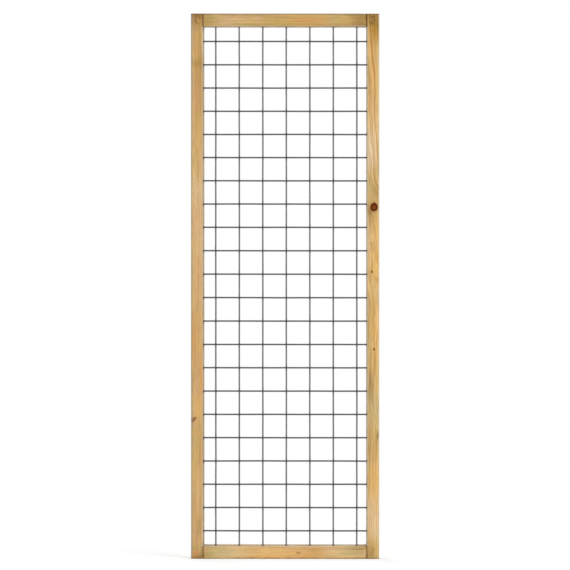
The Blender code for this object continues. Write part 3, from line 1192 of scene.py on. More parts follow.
@dataclass(frozen=True)
class ScrewShape:
    """A countersunk wood screw along Y, with its head's flat top at the back.

    Attributes:
        head_radius: Radius of the head.
        shank_radius: Radius of the plain shank, and of the thread over its crest.
        core_radius: Radius of the shank between the turns of the thread.
        land: Height of the head's straight rim.
        plain: Length of the head and the plain shank together.
        point: Length of the point.
        pitch: Rise of the thread in one turn.
        clearance: Space round the screw in its hole.
    """

    head_radius: float = 0.004
    shank_radius: float = 0.002
    core_radius: float = 0.00135
    land: float = 0.0004
    plain: float = 0.012
    point: float = 0.006
    pitch: float = 0.0018
    clearance: float = 0.0003

    SIDES = 32
    HOLE_SIDES = 24
    TURN_STEPS = 12
    FOOT_SHARE = 0.3
    ROOT_SHARE = 0.8
    LEAST_TAPER = 0.08

    @property
    def neck(self) -> float:
        """How far below the head's top the shank starts."""
        return self.land + self.head_radius - self.shank_radius

    def body(self, length: float) -> BMesh:
        """The screw without its thread, with its head's top at the origin.

        Args:
            length: Length over all.

        Returns:
            The closed shape.
        """
        return self._turned([
            (0.0, 0.0),
            (self.head_radius, 0.0),
            (self.head_radius, -self.land),
            (self.shank_radius, -self.neck),
            (self.shank_radius, -self.plain),
            (self.core_radius, -self.plain - self.pitch / 2),
            (self.core_radius, self.point - length),
            (0.0, -length),
        ], self.SIDES)

    def thread(self, length: float) -> BMesh:
        """The ridge that winds round the core and runs out in the point.

        Args:
            length: Length over all.

        Returns:
            The closed ridge, placed as the body is.
        """
        run = length - self.plain - self.pitch
        steps = round(run / self.pitch * self.TURN_STEPS)
        foot = self.FOOT_SHARE * self.pitch
        root = self.ROOT_SHARE * self.core_radius
        bm = bmesh.new()
        section = [bm.verts.new((radius, rise - self.plain, 0.0)) for radius, rise in
                   ((root, foot), (self.shank_radius, 0.0), (root, -foot))]
        for vert, after in zip(section, section[1:] + section[:1]):
            bm.edges.new((vert, after))
        bmesh.ops.spin(bm, geom=bm.verts[:] + bm.edges[:], cent=(0, 0, 0), axis=(0, 1, 0),
                       dvec=(0, -run / steps, 0), angle=-math.tau * run / self.pitch,
                       steps=steps)
        bmesh.ops.holes_fill(bm, edges=[edge for edge in bm.edges if edge.is_boundary],
                             sides=len(section))
        for vert in bm.verts:
            taper = max(self.LEAST_TAPER, min(1.0, (length + vert.co.y) / self.point))
            vert.co.x *= taper
            vert.co.z *= taper
        bmesh.ops.recalc_face_normals(bm, faces=bm.faces)
        return bm

    def hole(self, head: Vector, length: float) -> BMesh:
        """The hole that a screw sits in, open at the back.

        Args:
            head: The middle of the head's top.
            length: The screw's length.

        Returns:
            The closed shape of the hole.
        """
        wide = self.head_radius + self.clearance
        narrow = self.shank_radius + self.clearance
        tip = self.clearance * self.point / self.shank_radius
        bm = self._turned([
            (0.0, MILLIMETRE),
            (wide, MILLIMETRE),
            (wide, -self.land),
            (narrow, -self.neck),
            (narrow, self.point - length),
            (0.0, -length - tip),
        ], self.HOLE_SIDES)
        bmesh.ops.translate(bm, vec=head, verts=bm.verts)
        return bm

    @staticmethod
    def _turned(outline: list[tuple[float, float]], sides: int) -> BMesh:
        """Turn an outline about Y.

        Args:
            outline: Pairs of radius and height, from the axis to the axis.
            sides: Sides of the turned shape.

        Returns:
            The closed shape.
        """
        bm = bmesh.new()
        corners = [bm.verts.new((radius, height, 0.0)) for radius, height in outline]
        for upper, lower in zip(corners, corners[1:]):
            bm.edges.new((upper, lower))
        bmesh.ops.spin(bm, geom=bm.verts[:] + bm.edges[:], cent=(0, 0, 0), axis=(0, 1, 0),
                       angle=math.tau, steps=sides, use_merge=True)
        bmesh.ops.remove_doubles(bm, verts=bm.verts, dist=TOUCHING)
        bmesh.ops.recalc_face_normals(bm, faces=bm.faces)
        return bm


def screw_seats() -> list[tuple[str, Vector, float]]:
    """Find where the screws sit.

    Returns:
        Each screw's solid, the middle of its head's top and its length.
    """
    seats = []
    for name in sorted(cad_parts):
        if name.startswith("screw_"):
            low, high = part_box(name)
            middle = (low + high) / 2
            seats.append((name, Vector((middle.x, high.y, middle.z)), high.y - low.y))
    return seats


@dataclass
class Board:
    """One planed board of the frame, with eased edges, knots and drying checks.

    WAVE and KNOCK scales are features a metre. GAPES and DEPTHS of face, side and end
    checks are in millimetres. STRAY is how far a check's middle lies from the board's at
    most, as a share of the board's size, and END_SPANS are shares of its thickness.

    Attributes:
        node: The solid that it stands for.
        layer: The layer of the frame that it belongs to.
        grain: Which way its grain runs.
        finish: Its wood.
        pocket_reach: Width of the rebate for the wire ends, from the inner edge.
        pocket_stop: How far the rebate stops short of both ends.
        pocket_depth: Depth of the rebate.
        pocket_corner: Rounding of the ends of a rebate that stops short.
        eased_radius: Rounding of its long edges.
        sawn_arris: Broken edge round its sawn ends.
        grid: Size of the mesh's cells.
        check_count: How many drying checks it has besides those in its knots and ends.
        screw: The screws that pass through it.
    """

    OVERSHOOT = 0.002
    WAVE_ALONG = 5.0
    WAVE_ACROSS = 60.0
    WAVE_DEPTH = 0.12 * MILLIMETRE
    KNOCK_ALONG = 38.0
    KNOCK_ACROSS = 20.0
    KNOCK_LEAST = 0.28
    KNOCK_DEPTH = 1.1 * MILLIMETRE
    EDGE_RISE = 5.0
    FACING = 0.9
    RIM_WIDTH = 0.16
    RIM_DEPTH = 0.40
    HEART_SHARE = 0.9
    HEART_DEPTH = 0.16
    CRACK_SHARE = 0.6
    CRACK_SECTION = (0.14 * MILLIMETRE, 1.2 * MILLIMETRE)
    CHECK_LENGTHS = (0.03, 0.11)
    CHECK_MARGIN = 0.1
    CHECK_SEEDS = (0, 100)
    CHECK_BEND = (70.0, 1.0, 0.0)
    BEND_MOST = 0.5 * MILLIMETRE
    BEND_SLENDERNESS = 20
    FACE_STRAY, FACE_GAPES, FACE_DEPTHS = 0.3, (0.12, 0.22), (0.8, 1.6)
    SIDE_STRAY, SIDE_DEPTHS, SIDE_GAPES = 0.25, (1.0, 2.2), (0.15, 0.28)
    END_STRAY, END_DEPTHS, END_GAPES, END_SPANS = 0.2, (4, 9), (0.2, 0.35), (0.2, 0.32)

    node: str
    layer: Layer
    grain: Grain
    finish: BoardFinish
    pocket_reach: float = 0.0
    pocket_stop: float = 0.0
    pocket_depth: float = 0.0098
    pocket_corner: float = 0.006
    eased_radius: float = 0.0025
    sawn_arris: float = 0.0006
    grid: float = 0.003
    check_count: int = 5
    screw: ScrewShape = ScrewShape()

    def __post_init__(self) -> None:
        """Read the board's place from its solid."""
        self.low, self.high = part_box(self.node)
        self.size = self.high - self.low
        self.middle = (self.low + self.high) / 2
        across = self.grain.across
        self.outward = math.copysign(1.0, self.middle[across] - CAD_MIDDLE[across])
        sides = (self.low[across], self.high[across])
        self.inner, self.outer = sides if self.outward > 0 else reversed(sides)
        self.lip = self.low.y + (self.pocket_depth if self.pocket_reach else 0.0)

    def build(self) -> bpy.types.Object:
        """Model the board.

        Returns:
            The finished board.
        """
        bm = self._stock()
        self._season(bm)
        piece = new_piece(f"planed_{self.node}", bm)
        cuts = self._screw_holes()
        if self.pocket_reach:
            add_mesh(cuts, self._pocket())
        carve(piece, cuts)
        carve(piece, self._checks())
        return piece

    def dress(self, piece: bpy.types.Object) -> None:
        """Colour the board and put it in its solid's place."""
        material = self.finish.material(f"pine_{self.node}", self)
        hand_in(piece, self.node, material)

    def _stock(self) -> BMesh:
        """Make the planed board, before it dries.

        Returns:
            The board with eased edges, in cells fine enough to move.
        """
        along = self.grain.value
        bm = block(self.size, self.middle)
        ease(bm, edges_along(bm, along), self.eased_radius, segments=4)
        for axis in (self.grain.across, DEPTH_AXIS):
            flat = self.size[axis] - 2 * self.eased_radius
            edges = [edge for edge in edges_along(bm, axis) if edge.calc_length() > flat / 2]
            bmesh.ops.subdivide_edges(bm, edges=edges, use_grid_fill=True,
                                      cuts=max(1, round(flat / self.grid) - 1))
        bmesh.ops.subdivide_edges(bm, edges=edges_along(bm, along), use_grid_fill=True,
                                  cuts=round(self.size[along] / self.grid) - 1)
        rims = [edge for edge in bm.edges
                if any(all(abs(vert.co[along] - end) < self.sawn_arris / 4
                           for vert in edge.verts)
                       for end in (self.low[along], self.high[along]))]
        ease(bm, rims, self.sawn_arris, segments=2)
        bm.normal_update()
        return bm

    def _season(self, bm: BMesh) -> None:
        """Move the surface in by fractions of a millimetre: undulations, dents and knots.

        Args:
            bm: The board.
        """
        along, across = self.grain.value, self.grain.across
        seed = self.finish.seed
        moves = []
        for vert in bm.verts:
            run, side = vert.co[along], vert.co[across]
            wave = noise.noise(Vector((run * self.WAVE_ALONG + seed, side * self.WAVE_ACROSS,
                                       vert.co.y * self.WAVE_ACROSS)))
            depth = (0.5 + 0.5 * wave) * self.WAVE_DEPTH
            knock = noise.noise(Vector((run * self.KNOCK_ALONG + seed,
                                        side * self.KNOCK_ACROSS, seed)))
            edge = min(1.0, self.EDGE_RISE * (1.0 - max(abs(part) for part in vert.normal)))
            depth += edge * max(0.0, knock - self.KNOCK_LEAST) * self.KNOCK_DEPTH
            if abs(vert.normal.y) > self.FACING:
                depth += self._knot_depth(run, side)
            moves.append(vert.normal * -depth)
        for vert, move in zip(bm.verts, moves):
            vert.co += move

    def _knot_depth(self, along: float, across: float) -> float:
        """How deep a knot's rim and heart lie below the face at one place.

        Args:
            along: Place along the grain.
            across: Place across the face.

        Returns:
            The depth.
        """
        depth = 0.0
        for knot in self.finish.knots:
            distance = math.hypot((along - knot.along) / (knot.radius * knot.stretch),
                                  (across - knot.across) / knot.radius)
            rim = math.exp(-((distance - 1.0) / self.RIM_WIDTH) ** 2) * self.RIM_DEPTH
            heart = self.HEART_DEPTH if distance < self.HEART_SHARE else 0.0
            depth += max(rim, heart) * knot.darkness * MILLIMETRE
        return depth

    def _screw_holes(self) -> BMesh:
        """Find the screws that pass through the board.

        Returns:
            The shape of their holes.
        """
        bm = bmesh.new()
        for _, head, length in screw_seats():
            if all(self.low[axis] < head[axis] < self.high[axis] for axis in (0, 2)):
                add_mesh(bm, self.screw.hole(head, length))
        return bm

    def _pocket(self) -> BMesh:
        """Make the rebate for the wire ends along the inner front edge.

        Returns:
            The closed shape of the rebate.
        """
        along, across = self.grain.value, self.grain.across
        beyond = -self.pocket_stop if self.pocket_stop else self.OVERSHOOT
        size = self.grain.vector(self.high[along] - self.low[along] + 2 * beyond,
                                 self.pocket_reach + self.OVERSHOOT,
                                 self.pocket_depth + self.OVERSHOOT)
        side = self.inner + self.outward * (size[across] / 2 - self.OVERSHOOT)
        depth = self.low.y + self.pocket_depth - size.y / 2
        bm = block(size, self.grain.vector(self.middle[along], side, depth))
        if self.pocket_stop:
            corners = [edge for edge in edges_along(bm, DEPTH_AXIS)
                       if (edge.verts[0].co[across] - side) * self.outward > 0]
            ease(bm, corners, self.pocket_corner, segments=6)
        return bm

    def _checks(self) -> BMesh:
        """Make slender drying checks: in dark knots, along the grain and in the sawn ends.

        Returns:
            The closed shapes of the checks.
        """
        chance = random.Random(self.node)
        along, across = self.grain.value, self.grain.across
        face = self.high.y if self.layer is Layer.REAR else self.low.y
        bm = bmesh.new()

        def stray(share: float, axis: int) -> float:
            """A place near the board's middle."""
            return self.middle[axis] + chance.uniform(-share, share) * self.size[axis]

        def size(least: float, most: float) -> float:
            """A size between two that are given in millimetres."""
            return chance.uniform(least, most) * MILLIMETRE

        for knot in self.finish.knots:
            if knot.darkness == 1.0:
                self._add_check(bm, (knot.along, knot.across, self.low.y),
                                (self.CRACK_SHARE * knot.radius, *self.CRACK_SECTION),
                                knot.along)
        for number in range(self.check_count):
            half = chance.uniform(*self.CHECK_LENGTHS) / 2
            run = chance.uniform(self.low[along] + self.CHECK_MARGIN,
                                 self.high[along] - self.CHECK_MARGIN)
            if number % 2:
                place = (run, stray(self.FACE_STRAY, across), face)
                section = (size(*self.FACE_GAPES), size(*self.FACE_DEPTHS))
            else:
                place = (run, self.outer, stray(self.SIDE_STRAY, DEPTH_AXIS))
                section = (size(*self.SIDE_DEPTHS), size(*self.SIDE_GAPES))
            self._add_check(bm, place, (half, *section), chance.uniform(*self.CHECK_SEEDS))
        for end in (self.low[along], self.high[along]):
            place = (end, stray(self.END_STRAY, across), self.middle.y)
            halves = (size(*self.END_DEPTHS), size(*self.END_GAPES),
                      chance.uniform(*self.END_SPANS) * self.size.y)
            self._add_check(bm, place, halves, chance.uniform(*self.CHECK_SEEDS))
        return bm

    def _add_check(self, bm: BMesh, place: tuple[float, float, float],
                   halves: tuple[float, float, float], seed: float) -> None:
        """Add one spindle-shaped check to the shape that is cut away.

        Args:
            bm: The shape that grows.
            place: The check's middle, along, across and into the board.
            halves: Half its size the same three ways.
            seed: Makes its bends its own.
        """
        along, across = self.grain.value, self.grain.across
        middle, half = self.grain.vector(*place), self.grain.vector(*halves)
        made = bmesh.ops.create_uvsphere(bm, u_segments=4, v_segments=12, radius=1.0,
                                         matrix=self.grain.turn)
        most = min(self.BEND_MOST, half[along] / self.BEND_SLENDERNESS)
        for vert in made["verts"]:
            vert.co = Vector(part * size for part, size in zip(vert.co, half))
            vert.co[across] += line_noise(vert.co[along], seed, self.CHECK_BEND) * most
            vert.co += middle


@dataclass
class WireMesh:
    """The welded mesh: round galvanised wires with a small fin of weld at each crossing.

    STRAY, KINK and SWELL are kinds of noise along a line. The LIFT values are the middle
    and the spread of the lifted stretch, as shares of the mesh's height.

    Attributes:
        finish: Its zinc.
        diameter: Thickness of the wire.
        pitch_across: Space between upright wires.
        pitch_up: Space between level wires.
        least_overhang: Least length of a wire beyond the last one that it crosses.
        sides: Sides of a wire.
        step: Length of a wire's cells.
        waver: How far a wire strays from a straight line.
        lift: How far the level wires in the upper half sit above an even spacing.
        cut_arris: Broken edge round a wire's cut ends.
    """

    NODE = "welded_mesh"
    STRAY = (6.5, 3.7, 0.5)
    KINK = (26.0, 5.1, 2.5)
    KINK_SHARE = 0.3
    SWELL = (40.0, 2.3, 1.5)
    SWELL_SHARE = 0.16
    WELD_SPREAD = 1.12
    WELD_DEPTH = 0.62
    SCORCH_REACH = 2.2
    LIFT_MIDDLE = 0.64
    LIFT_SPREAD = 0.17

    finish: ZincFinish
    diameter: float = 0.005
    pitch_across: float = 0.075
    pitch_up: float = 0.0744
    least_overhang: float = 0.030
    sides: int = 12
    step: float = 0.0075
    waver: float = 0.0004
    lift: float = 0.0022
    cut_arris: float = 0.3 * MILLIMETRE

    def __post_init__(self) -> None:
        """Work out where the wires lie from the solid's box."""
        self.low, self.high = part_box(self.NODE)
        self.middle = (self.low + self.high) / 2
        radius = self.diameter / 2
        self.level_y = self.low.y + radius
        self.upright_y = self.high.y - radius
        self.uprights = self._places(0, self.pitch_across)
        self.levels = [z + self._level_lift(z) for z in self._places(2, self.pitch_up)]

    def _places(self, axis: int, pitch: float) -> list[float]:
        """Evenly spaced wires about the mesh's middle.

        Args:
            axis: The axis that they are spaced along.
            pitch: Space between wires.

        Returns:
            The place of each wire.
        """
        length = self.high[axis] - self.low[axis]
        spaces = math.floor((length - 2 * self.least_overhang) / pitch)
        return [self.middle[axis] + (index - spaces / 2) * pitch
                for index in range(spaces + 1)]

    def _level_lift(self, z: float) -> float:
        """How far a level wire sits above its even height."""
        share = (z - self.low.z) / (self.high.z - self.low.z)
        return self.lift * math.exp(-((share - self.LIFT_MIDDLE) / self.LIFT_SPREAD) ** 2)

    def build(self) -> bpy.types.Object:
        """Model the whole mesh.

        Returns:
            The finished mesh.
        """
        bm = bmesh.new()
        bm.verts.layers.float.new(ZincFinish.LEVEL_SHADE)
        for number, x in enumerate(self.uprights):
            add_mesh(bm, self._wire(Grain.UPRIGHT, x, self.upright_y, number))
        for number, z in enumerate(self.levels):
            row = self._wire(Grain.LEVEL, z, self.level_y, number + len(self.uprights))
            for x in self.uprights:
                self._add_weld(row, x, z, number)
            add_mesh(bm, row)
        scorch = bm.verts.layers.float.new(ZincFinish.WELD)
        for vert in bm.verts:
            vert[scorch] = self._scorch(vert.co)
        return new_piece("galvanised_mesh", bm)

    def dress(self, piece: bpy.types.Object) -> None:
        """Colour the mesh and put it in its solid's place."""
        hand_in(piece, self.NODE, self.finish.material("galvanised"))

    def _scorch(self, place: Vector) -> float:
        """How much the zinc at a place is scorched by the nearest weld.

        Args:
            place: A point on a wire.

        Returns:
            The share from 0 to 1.
        """
        near_x = min(abs(place.x - x) for x in self.uprights)
        near_z = min(abs(place.z - z) for z in self.levels)
        return max(0.0, 1.0 - math.hypot(near_x, near_z) / (self.SCORCH_REACH * self.diameter))

    def _wire(self, grain: Grain, place: float, y: float, number: int) -> BMesh:
        """One wire, with cut ends and a slight waver.

        Args:
            grain: Which way the wire runs.
            place: Its place across its own run.
            y: Its depth.
            number: Makes its waver its own.

        Returns:
            The closed wire in its place.
        """
        along, across = grain.value, grain.across
        length = self.high[along] - self.low[along]
        middle = grain.vector(self.middle[along], place, y)
        bm = bmesh.new()
        bmesh.ops.create_cone(bm, cap_ends=True, segments=self.sides,
                              radius1=self.diameter / 2, radius2=self.diameter / 2,
                              depth=length, matrix=Matrix.Translation(middle) @ grain.turn)
        rims = [edge for edge in bm.edges if edge.calc_length() < length / 2]
        ease(bm, rims, self.cut_arris, segments=1)
        long_edges = [edge for edge in bm.edges if edge.calc_length() > length / 2]
        bmesh.ops.subdivide_edges(bm, edges=long_edges, cuts=round(length / self.step) - 1,
                                  use_grid_fill=True)
        # The level wires are marked for painted shade.
        level_shade = bm.verts.layers.float.new(ZincFinish.LEVEL_SHADE)
        for vert in bm.verts:
            vert[level_shade] = float(grain is Grain.LEVEL)
            stray = line_noise(vert.co[along], number, self.STRAY)
            kink = line_noise(vert.co[along], number, self.KINK)
            vert.co[across] += (stray + self.KINK_SHARE * kink) * self.waver
        return bm

    def _add_weld(self, bm: BMesh, x: float, z: float, number: int) -> None:
        """Add the squeezed-out metal of one weld between its two wires.

        Args:
            bm: The mesh that grows.
            x: The crossing's place across.
            z: The crossing's height.
            number: Makes its shape its own.
        """
        depth = (self.level_y + self.upright_y) / 2
        swell = 1.0 + self.SWELL_SHARE * line_noise(x, number, self.SWELL)
        radius = self.diameter / 2
        size = (radius * self.WELD_SPREAD * swell, radius * self.WELD_DEPTH,
                radius * self.WELD_SPREAD / swell)
        matrix = (Matrix.Translation((x, depth, z)) @ Matrix.Diagonal((*size, 1.0))
                  @ Matrix.Rotation(math.pi / 2, 4, "X"))
        bmesh.ops.create_uvsphere(bm, u_segments=8, v_segments=5, radius=1.0, matrix=matrix)


@dataclass
class ScrewSet:
    """All countersunk screws, each turned, with a cross recess in its head.

    Attributes:
        finish: Their zinc.
        shape: Their shape.
        rim: Rounding of the head's rim.
        recess_span: Width of the recess over its arms.
        recess_width: Width of an arm.
        recess_depth: Depth of the recess.
        recess_taper: Size of the recess's floor as a share of its mouth.
    """

    OVERSHOOT = 0.0005

    finish: ZincFinish
    shape: ScrewShape = ScrewShape()
    rim: float = 0.12 * MILLIMETRE
    recess_span: float = 0.0044
    recess_width: float = 0.0010
    recess_depth: float = 0.0018
    recess_taper: float = 0.5

    def build(self) -> dict[str, bpy.types.Object]:
        """Model every screw.

        Returns:
            Each screw by the name of its solid.
        """
        pieces = {}
        for name, head, length in screw_seats():
            body = self.shape.body(length)
            self._round_rim(body)
            piece = new_piece(f"zinc_{name}", body)
            carve(piece, self._recess(random.Random(name).uniform(0.0, math.pi / 2)))
            whole = bmesh.new()
            whole.from_mesh(piece.data)
            add_mesh(whole, self.shape.thread(length))
            bmesh.ops.translate(whole, vec=head, verts=whole.verts)
            whole.to_mesh(piece.data)
            whole.free()
            pieces[name] = piece
        return pieces

    def dress(self, pieces: dict[str, bpy.types.Object]) -> None:
        """Colour the screws and put each in its solid's place.

        Args:
            pieces: Each screw by the name of its solid.
        """
        material = self.finish.material("zinc_plate")
        for name, piece in pieces.items():
            hand_in(piece, name, material)

    def _round_rim(self, bm: BMesh) -> None:
        """Ease the rim of a screw's head.

        Args:
            bm: The screw, with its head's top at the origin.
        """
        rim = [edge for edge in bm.edges
               if all(abs(vert.co.y) < TOUCHING
                      and vert.co.length > self.shape.head_radius / 2 for vert in edge.verts)]
        ease(bm, rim, self.rim, segments=2)

    def _recess(self, turn: float) -> BMesh:
        """The tapered cross that a driver fits, at the origin.

        Args:
            turn: How far the cross is turned about the screw's axis.

        Returns:
            The closed shape of the recess.
        """
        bm = bmesh.new()
        bmesh.ops.create_grid(bm, x_segments=1, y_segments=1, size=self.recess_width / 2)
        reach = (self.recess_span - self.recess_width) / 2
        for edge in bm.edges[:]:
            outward = (edge.verts[0].co + edge.verts[1].co).normalized()
            tip = extruded(bmesh.ops.extrude_edge_only(bm, edges=[edge]))
            bmesh.ops.translate(bm, vec=outward * reach, verts=tip)
        lower = extruded(bmesh.ops.extrude_face_region(bm, geom=bm.faces[:]))
        bmesh.ops.translate(bm, vec=(0, 0, -self.recess_depth - self.OVERSHOOT), verts=lower)
        bmesh.ops.scale(bm, vec=(self.recess_taper, self.recess_taper, 1.0), verts=lower)
        bmesh.ops.translate(bm, vec=(0, 0, self.OVERSHOOT), verts=bm.verts)
        for angle, axis in ((turn, "Z"), (-math.pi / 2, "X")):
            bmesh.ops.rotate(bm, cent=(0, 0, 0), matrix=Matrix.Rotation(angle, 3, axis),
                             verts=bm.verts)
        bmesh.ops.recalc_face_normals(bm, faces=bm.faces)
        return bm


@dataclass
class Frame:
    """The two layers of boards.

    Each front board has its own wood. The rear ones are alike but for their noise, their
    pith and the painted light on their lip.

    Attributes:
        stile_pocket: Width of the rebate in the rear stiles.
        rail_pocket: Width of the rebate in the rear rails.
        rail_stop: How far a rear rail's rebate stops short of its ends.
    """

    FRONT_LEFT = BoardFinish(
        early=(211, 174, 118), late=(196, 152, 94), pith_across=-0.325,
        pith_depth=0.045, seed=1.3, ring_spacing=0.0046, streaks=(0.22, 0.35, 0.40),
        # Painted shade on its outer edges, a painted highlight on its inner edge and painted
        # shade at its joints.
        edge_light=PaintedEdgeLight(outer=0.54, outer_light_reach=0.0072, outer_light_tint=(142, 146, 136),
                      inner=0.45, joint_shade=0.42, joint_shade_reach=0.0034),
        knots=(Knot(0.4484, -0.2885, 0.0052, 1.0, 0.50),
               Knot(0.4420, -0.2935, 0.0042, 1.2, 0.55)),
        patches=stains(
            (1630, -286, 22, 16, Tint.PINK, 0.35),
            (1580, -281, 16, 45, Tint.BROWN, 0.36),
            (1550, -290, 40, 12, Tint.OLIVE, 0.20),
            (1500, -284, 50, 10, Tint.PINK, 0.40),
            (1670, -271, 50, 10, Tint.GOLD, 0.16),
            (1650, -271, 28, 10, Tint.OLIVE, 0.24),
            (1532, -271, 30, 10, Tint.BROWN, 0.10),
            (1420, -275, 70, 14, Tint.GOLD, 0.26),
            (1270, -289, 150, 10, Tint.BROWN, 0.08),
            (326, -271, 28, 10, Tint.GOLD, 0.16),
            (150, -289, 60, 10, Tint.BROWN, 0.08),
            (1180, -281, 60, 50, Tint.PALE, 0.30),
            (1090, -286, 50, 12, Tint.PINK, 0.40),
            (1020, -272, 80, 16, Tint.PALE, 0.28),
            (900, -276, 60, 10, Tint.PINK, 0.24),
            (720, -288, 60, 12, Tint.BROWN, 0.14),
            (700, -291, 90, 9, Tint.ORANGE, 0.40),
            (590, -267, 85, 4, Tint.ORANGE, 0.80),
            (520, -282, 80, 5, Tint.PINK, 0.40),
            (480, -276, 35, 10, Tint.HONEY, 0.60),
            (400, -270, 50, 12, Tint.OLIVE, 0.15),
            (330, -291, 60, 9, Tint.OLIVE, 0.25),
            (75, -283, 30, 6, Tint.PINK, 0.35),
            (30, -267, 30, 5, Tint.GREEN, 0.40),
            (34, -288, 8, 10, Tint.OLIVE, 0.50),
            (40, -278, 80, 30, Tint.BROWN, 0.17),
            (4, -281, 14, 60, Tint.UMBER, 0.50),
            (18, -287, 10, 12, Tint.ORANGE, 0.55),
            (1590, -268, 110, 12, Tint.BROWN, 0.26),
            (1560, -272, 110, 14, Tint.GOLD, 0.28),
            (1640, -290, 40, 12, Tint.GOLD, 0.20),
            (620, -290, 110, 12, Tint.BROWN, 0.09),
            (405, -290, 30, 10, Tint.GOLD, 0.22),
            (365, -270, 60, 12, Tint.GOLD, 0.28),
            (105, -271, 32, 12, Tint.BROWN, 0.24),
            (1738, -281, 44, 60, Tint.UMBER, 0.62),
            (1742, -281, 10, 60, Tint.UMBER, 0.20),
            (1717.2, -284.1, 4, 3, Tint.UMBER, 0.65),
            (1731.6, -285.7, 3.6, 3, Tint.UMBER, 0.45),
            (1728.4, -272.9, 4, 2.6, Tint.UMBER, 0.50),
            (1719.5, -276.6, 6, 3.5, Tint.HONEY, 0.45),
            (1710.5, -279.5, 3, 4, Tint.UMBER, 0.45),
            (1720, -262, 20, 1.8, Tint.UMBER, 0.50),
            # These two pale streaks along the inner edge are painted highlight.
            (1650, -262.5, 50, 3.2, Tint.PALE, 1.00),
            (80, -262.5, 40, 2.6, Tint.PALE, 0.90)))

    FRONT_RIGHT = BoardFinish(
        early=(223, 187, 127), late=(178, 132, 72), pith_across=0.325,
        pith_depth=0.055, seed=5.9, ring_spacing=0.0042, taper=0.015, wander=0.016,
        streaks=(0.40, 0.25, 0.45),
        sways=(Sway(1.185, 0.045, 0.030), Sway(0.860, 0.090, 0.022),
               Sway(0.430, 0.080, 0.022)),
        # A painted highlight on its outer edge and its inner edge, and painted shade at its
        # joints.
        edge_light=PaintedEdgeLight(outer=0.40, outer_light_reach=0.0050, outer_light_tint=(252, 226, 178),
                      inner=0.60, joint_shade=0.30, joint_shade_reach=0.0030),
        knots=(Knot(1.1235, 0.2842, 0.0112, 1.22), Knot(0.9175, 0.2775, 0.0026, 1.7, 0.7),
               Knot(0.6700, 0.2842, 0.0026, 1.8, 0.7)),
        patches=stains(
            (1688, 288, 40, 16, Tint.GOLD, 1.00),
            (1640, 275, 80, 12, Tint.GOLD, 0.24),
            (1590, 277, 100, 4, Tint.ORANGE, 0.42),
            (1530, 285, 100, 3, Tint.ORANGE, 0.32),
            (1310, 273, 75, 18, Tint.PALE, 0.92),
            (1195, 277, 50, 30, Tint.OLIVE, 0.32),
            (1155, 281, 35, 30, Tint.BROWN, 0.22),
            (1082, 273, 28, 12, Tint.BROWN, 0.38),
            (1005, 272, 55, 14, Tint.PALE, 1.00),
            (870, 287, 35, 12, Tint.PALE, 0.32),
            (1600, 288, 40, 12, Tint.BROWN, 0.17),
            (1648, 288, 30, 10, Tint.GOLD, 0.14),
            (1088, 289, 24, 10, Tint.BROWN, 0.22),
            (525, 271, 25, 10, Tint.BROWN, 0.15),
            (800, 272, 75, 14, Tint.BROWN, 0.15),
            (354, 287, 30, 12, Tint.GOLD, 0.24),
            (1114, 272, 20, 9, Tint.BROWN, 0.65),
            (980, 287, 95, 20, Tint.HONEY, 1.00),
            (940, 277, 40, 3, Tint.BROWN, 0.42),
            (1005, 288, 40, 10, Tint.PALE, 0.30),
            (735, 271, 35, 10, Tint.BROWN, 0.09),
            (728, 288, 26, 10, Tint.HONEY, 0.50),
            (556, 271, 26, 10, Tint.GOLD, 0.16),
            (500, 271, 26, 10, Tint.BROWN, 0.10),
            (498, 288, 26, 10, Tint.PALE, 0.12),
            (962, 271, 30, 8, Tint.PALE, 0.22),
            (962, 271, 30, 8, Tint.HONEY, 0.30),
            (440, 271, 26, 10, Tint.PALE, 0.15),
            (96, 271, 26, 10, Tint.PALE, 0.10),
            (815, 288, 45, 10, Tint.HONEY, 0.35),
            (613, 288, 28, 10, Tint.HONEY, 0.35),
            (326, 288, 28, 10, Tint.GOLD, 0.15),
            (180, 288, 50, 10, Tint.HONEY, 0.60),
            (700, 283.8, 60, 2.2, Tint.ORANGE, 0.90),
            (560, 272, 70, 14, Tint.BROWN, 0.45),
            (480, 281, 55, 30, Tint.GREEN, 0.35),
            (394, 296.5, 15, 4, Tint.BROWN, 0.85),
            (390, 270, 70, 10, Tint.BROWN, 0.22),
            (255, 285, 55, 30, Tint.HONEY, 0.60),
            (145, 281, 55, 40, Tint.PALE, 0.50),
            (80, 290, 30, 12, Tint.PALE, 0.45),
            (20, 276, 22, 14, Tint.BROWN, 0.42),
            (45, 290, 20, 10, Tint.OLIVE, 0.30),
            (45, 288, 30, 10, Tint.GOLD, 0.15),
            (45, 270, 14, 10, Tint.OLIVE, 0.40),
            (30, 283, 3.6, 3, Tint.UMBER, 0.45),
            (2, 281, 12, 60, Tint.OLIVE, 0.45),
            (1745, 281, 60, 60, Tint.BROWN, 0.50),
            (1724, 290, 24, 13, Tint.UMBER, 0.34),
            (1700, 296.5, 45, 4, Tint.BROWN, 0.55),
            (1730, 276.1, 5.2, 2.8, Tint.UMBER, 1.00),
            (1712.5, 276.1, 5.2, 2.8, Tint.UMBER, 1.15),
            (1731.6, 283.5, 4, 2.8, Tint.UMBER, 0.85),
            (1721.1, 284.1, 4.4, 2.8, Tint.UMBER, 0.90),
            (1710, 283.5, 3.6, 2.8, Tint.UMBER, 0.60),
            (1705.5, 279.3, 3.6, 2.8, Tint.UMBER, 0.60)))

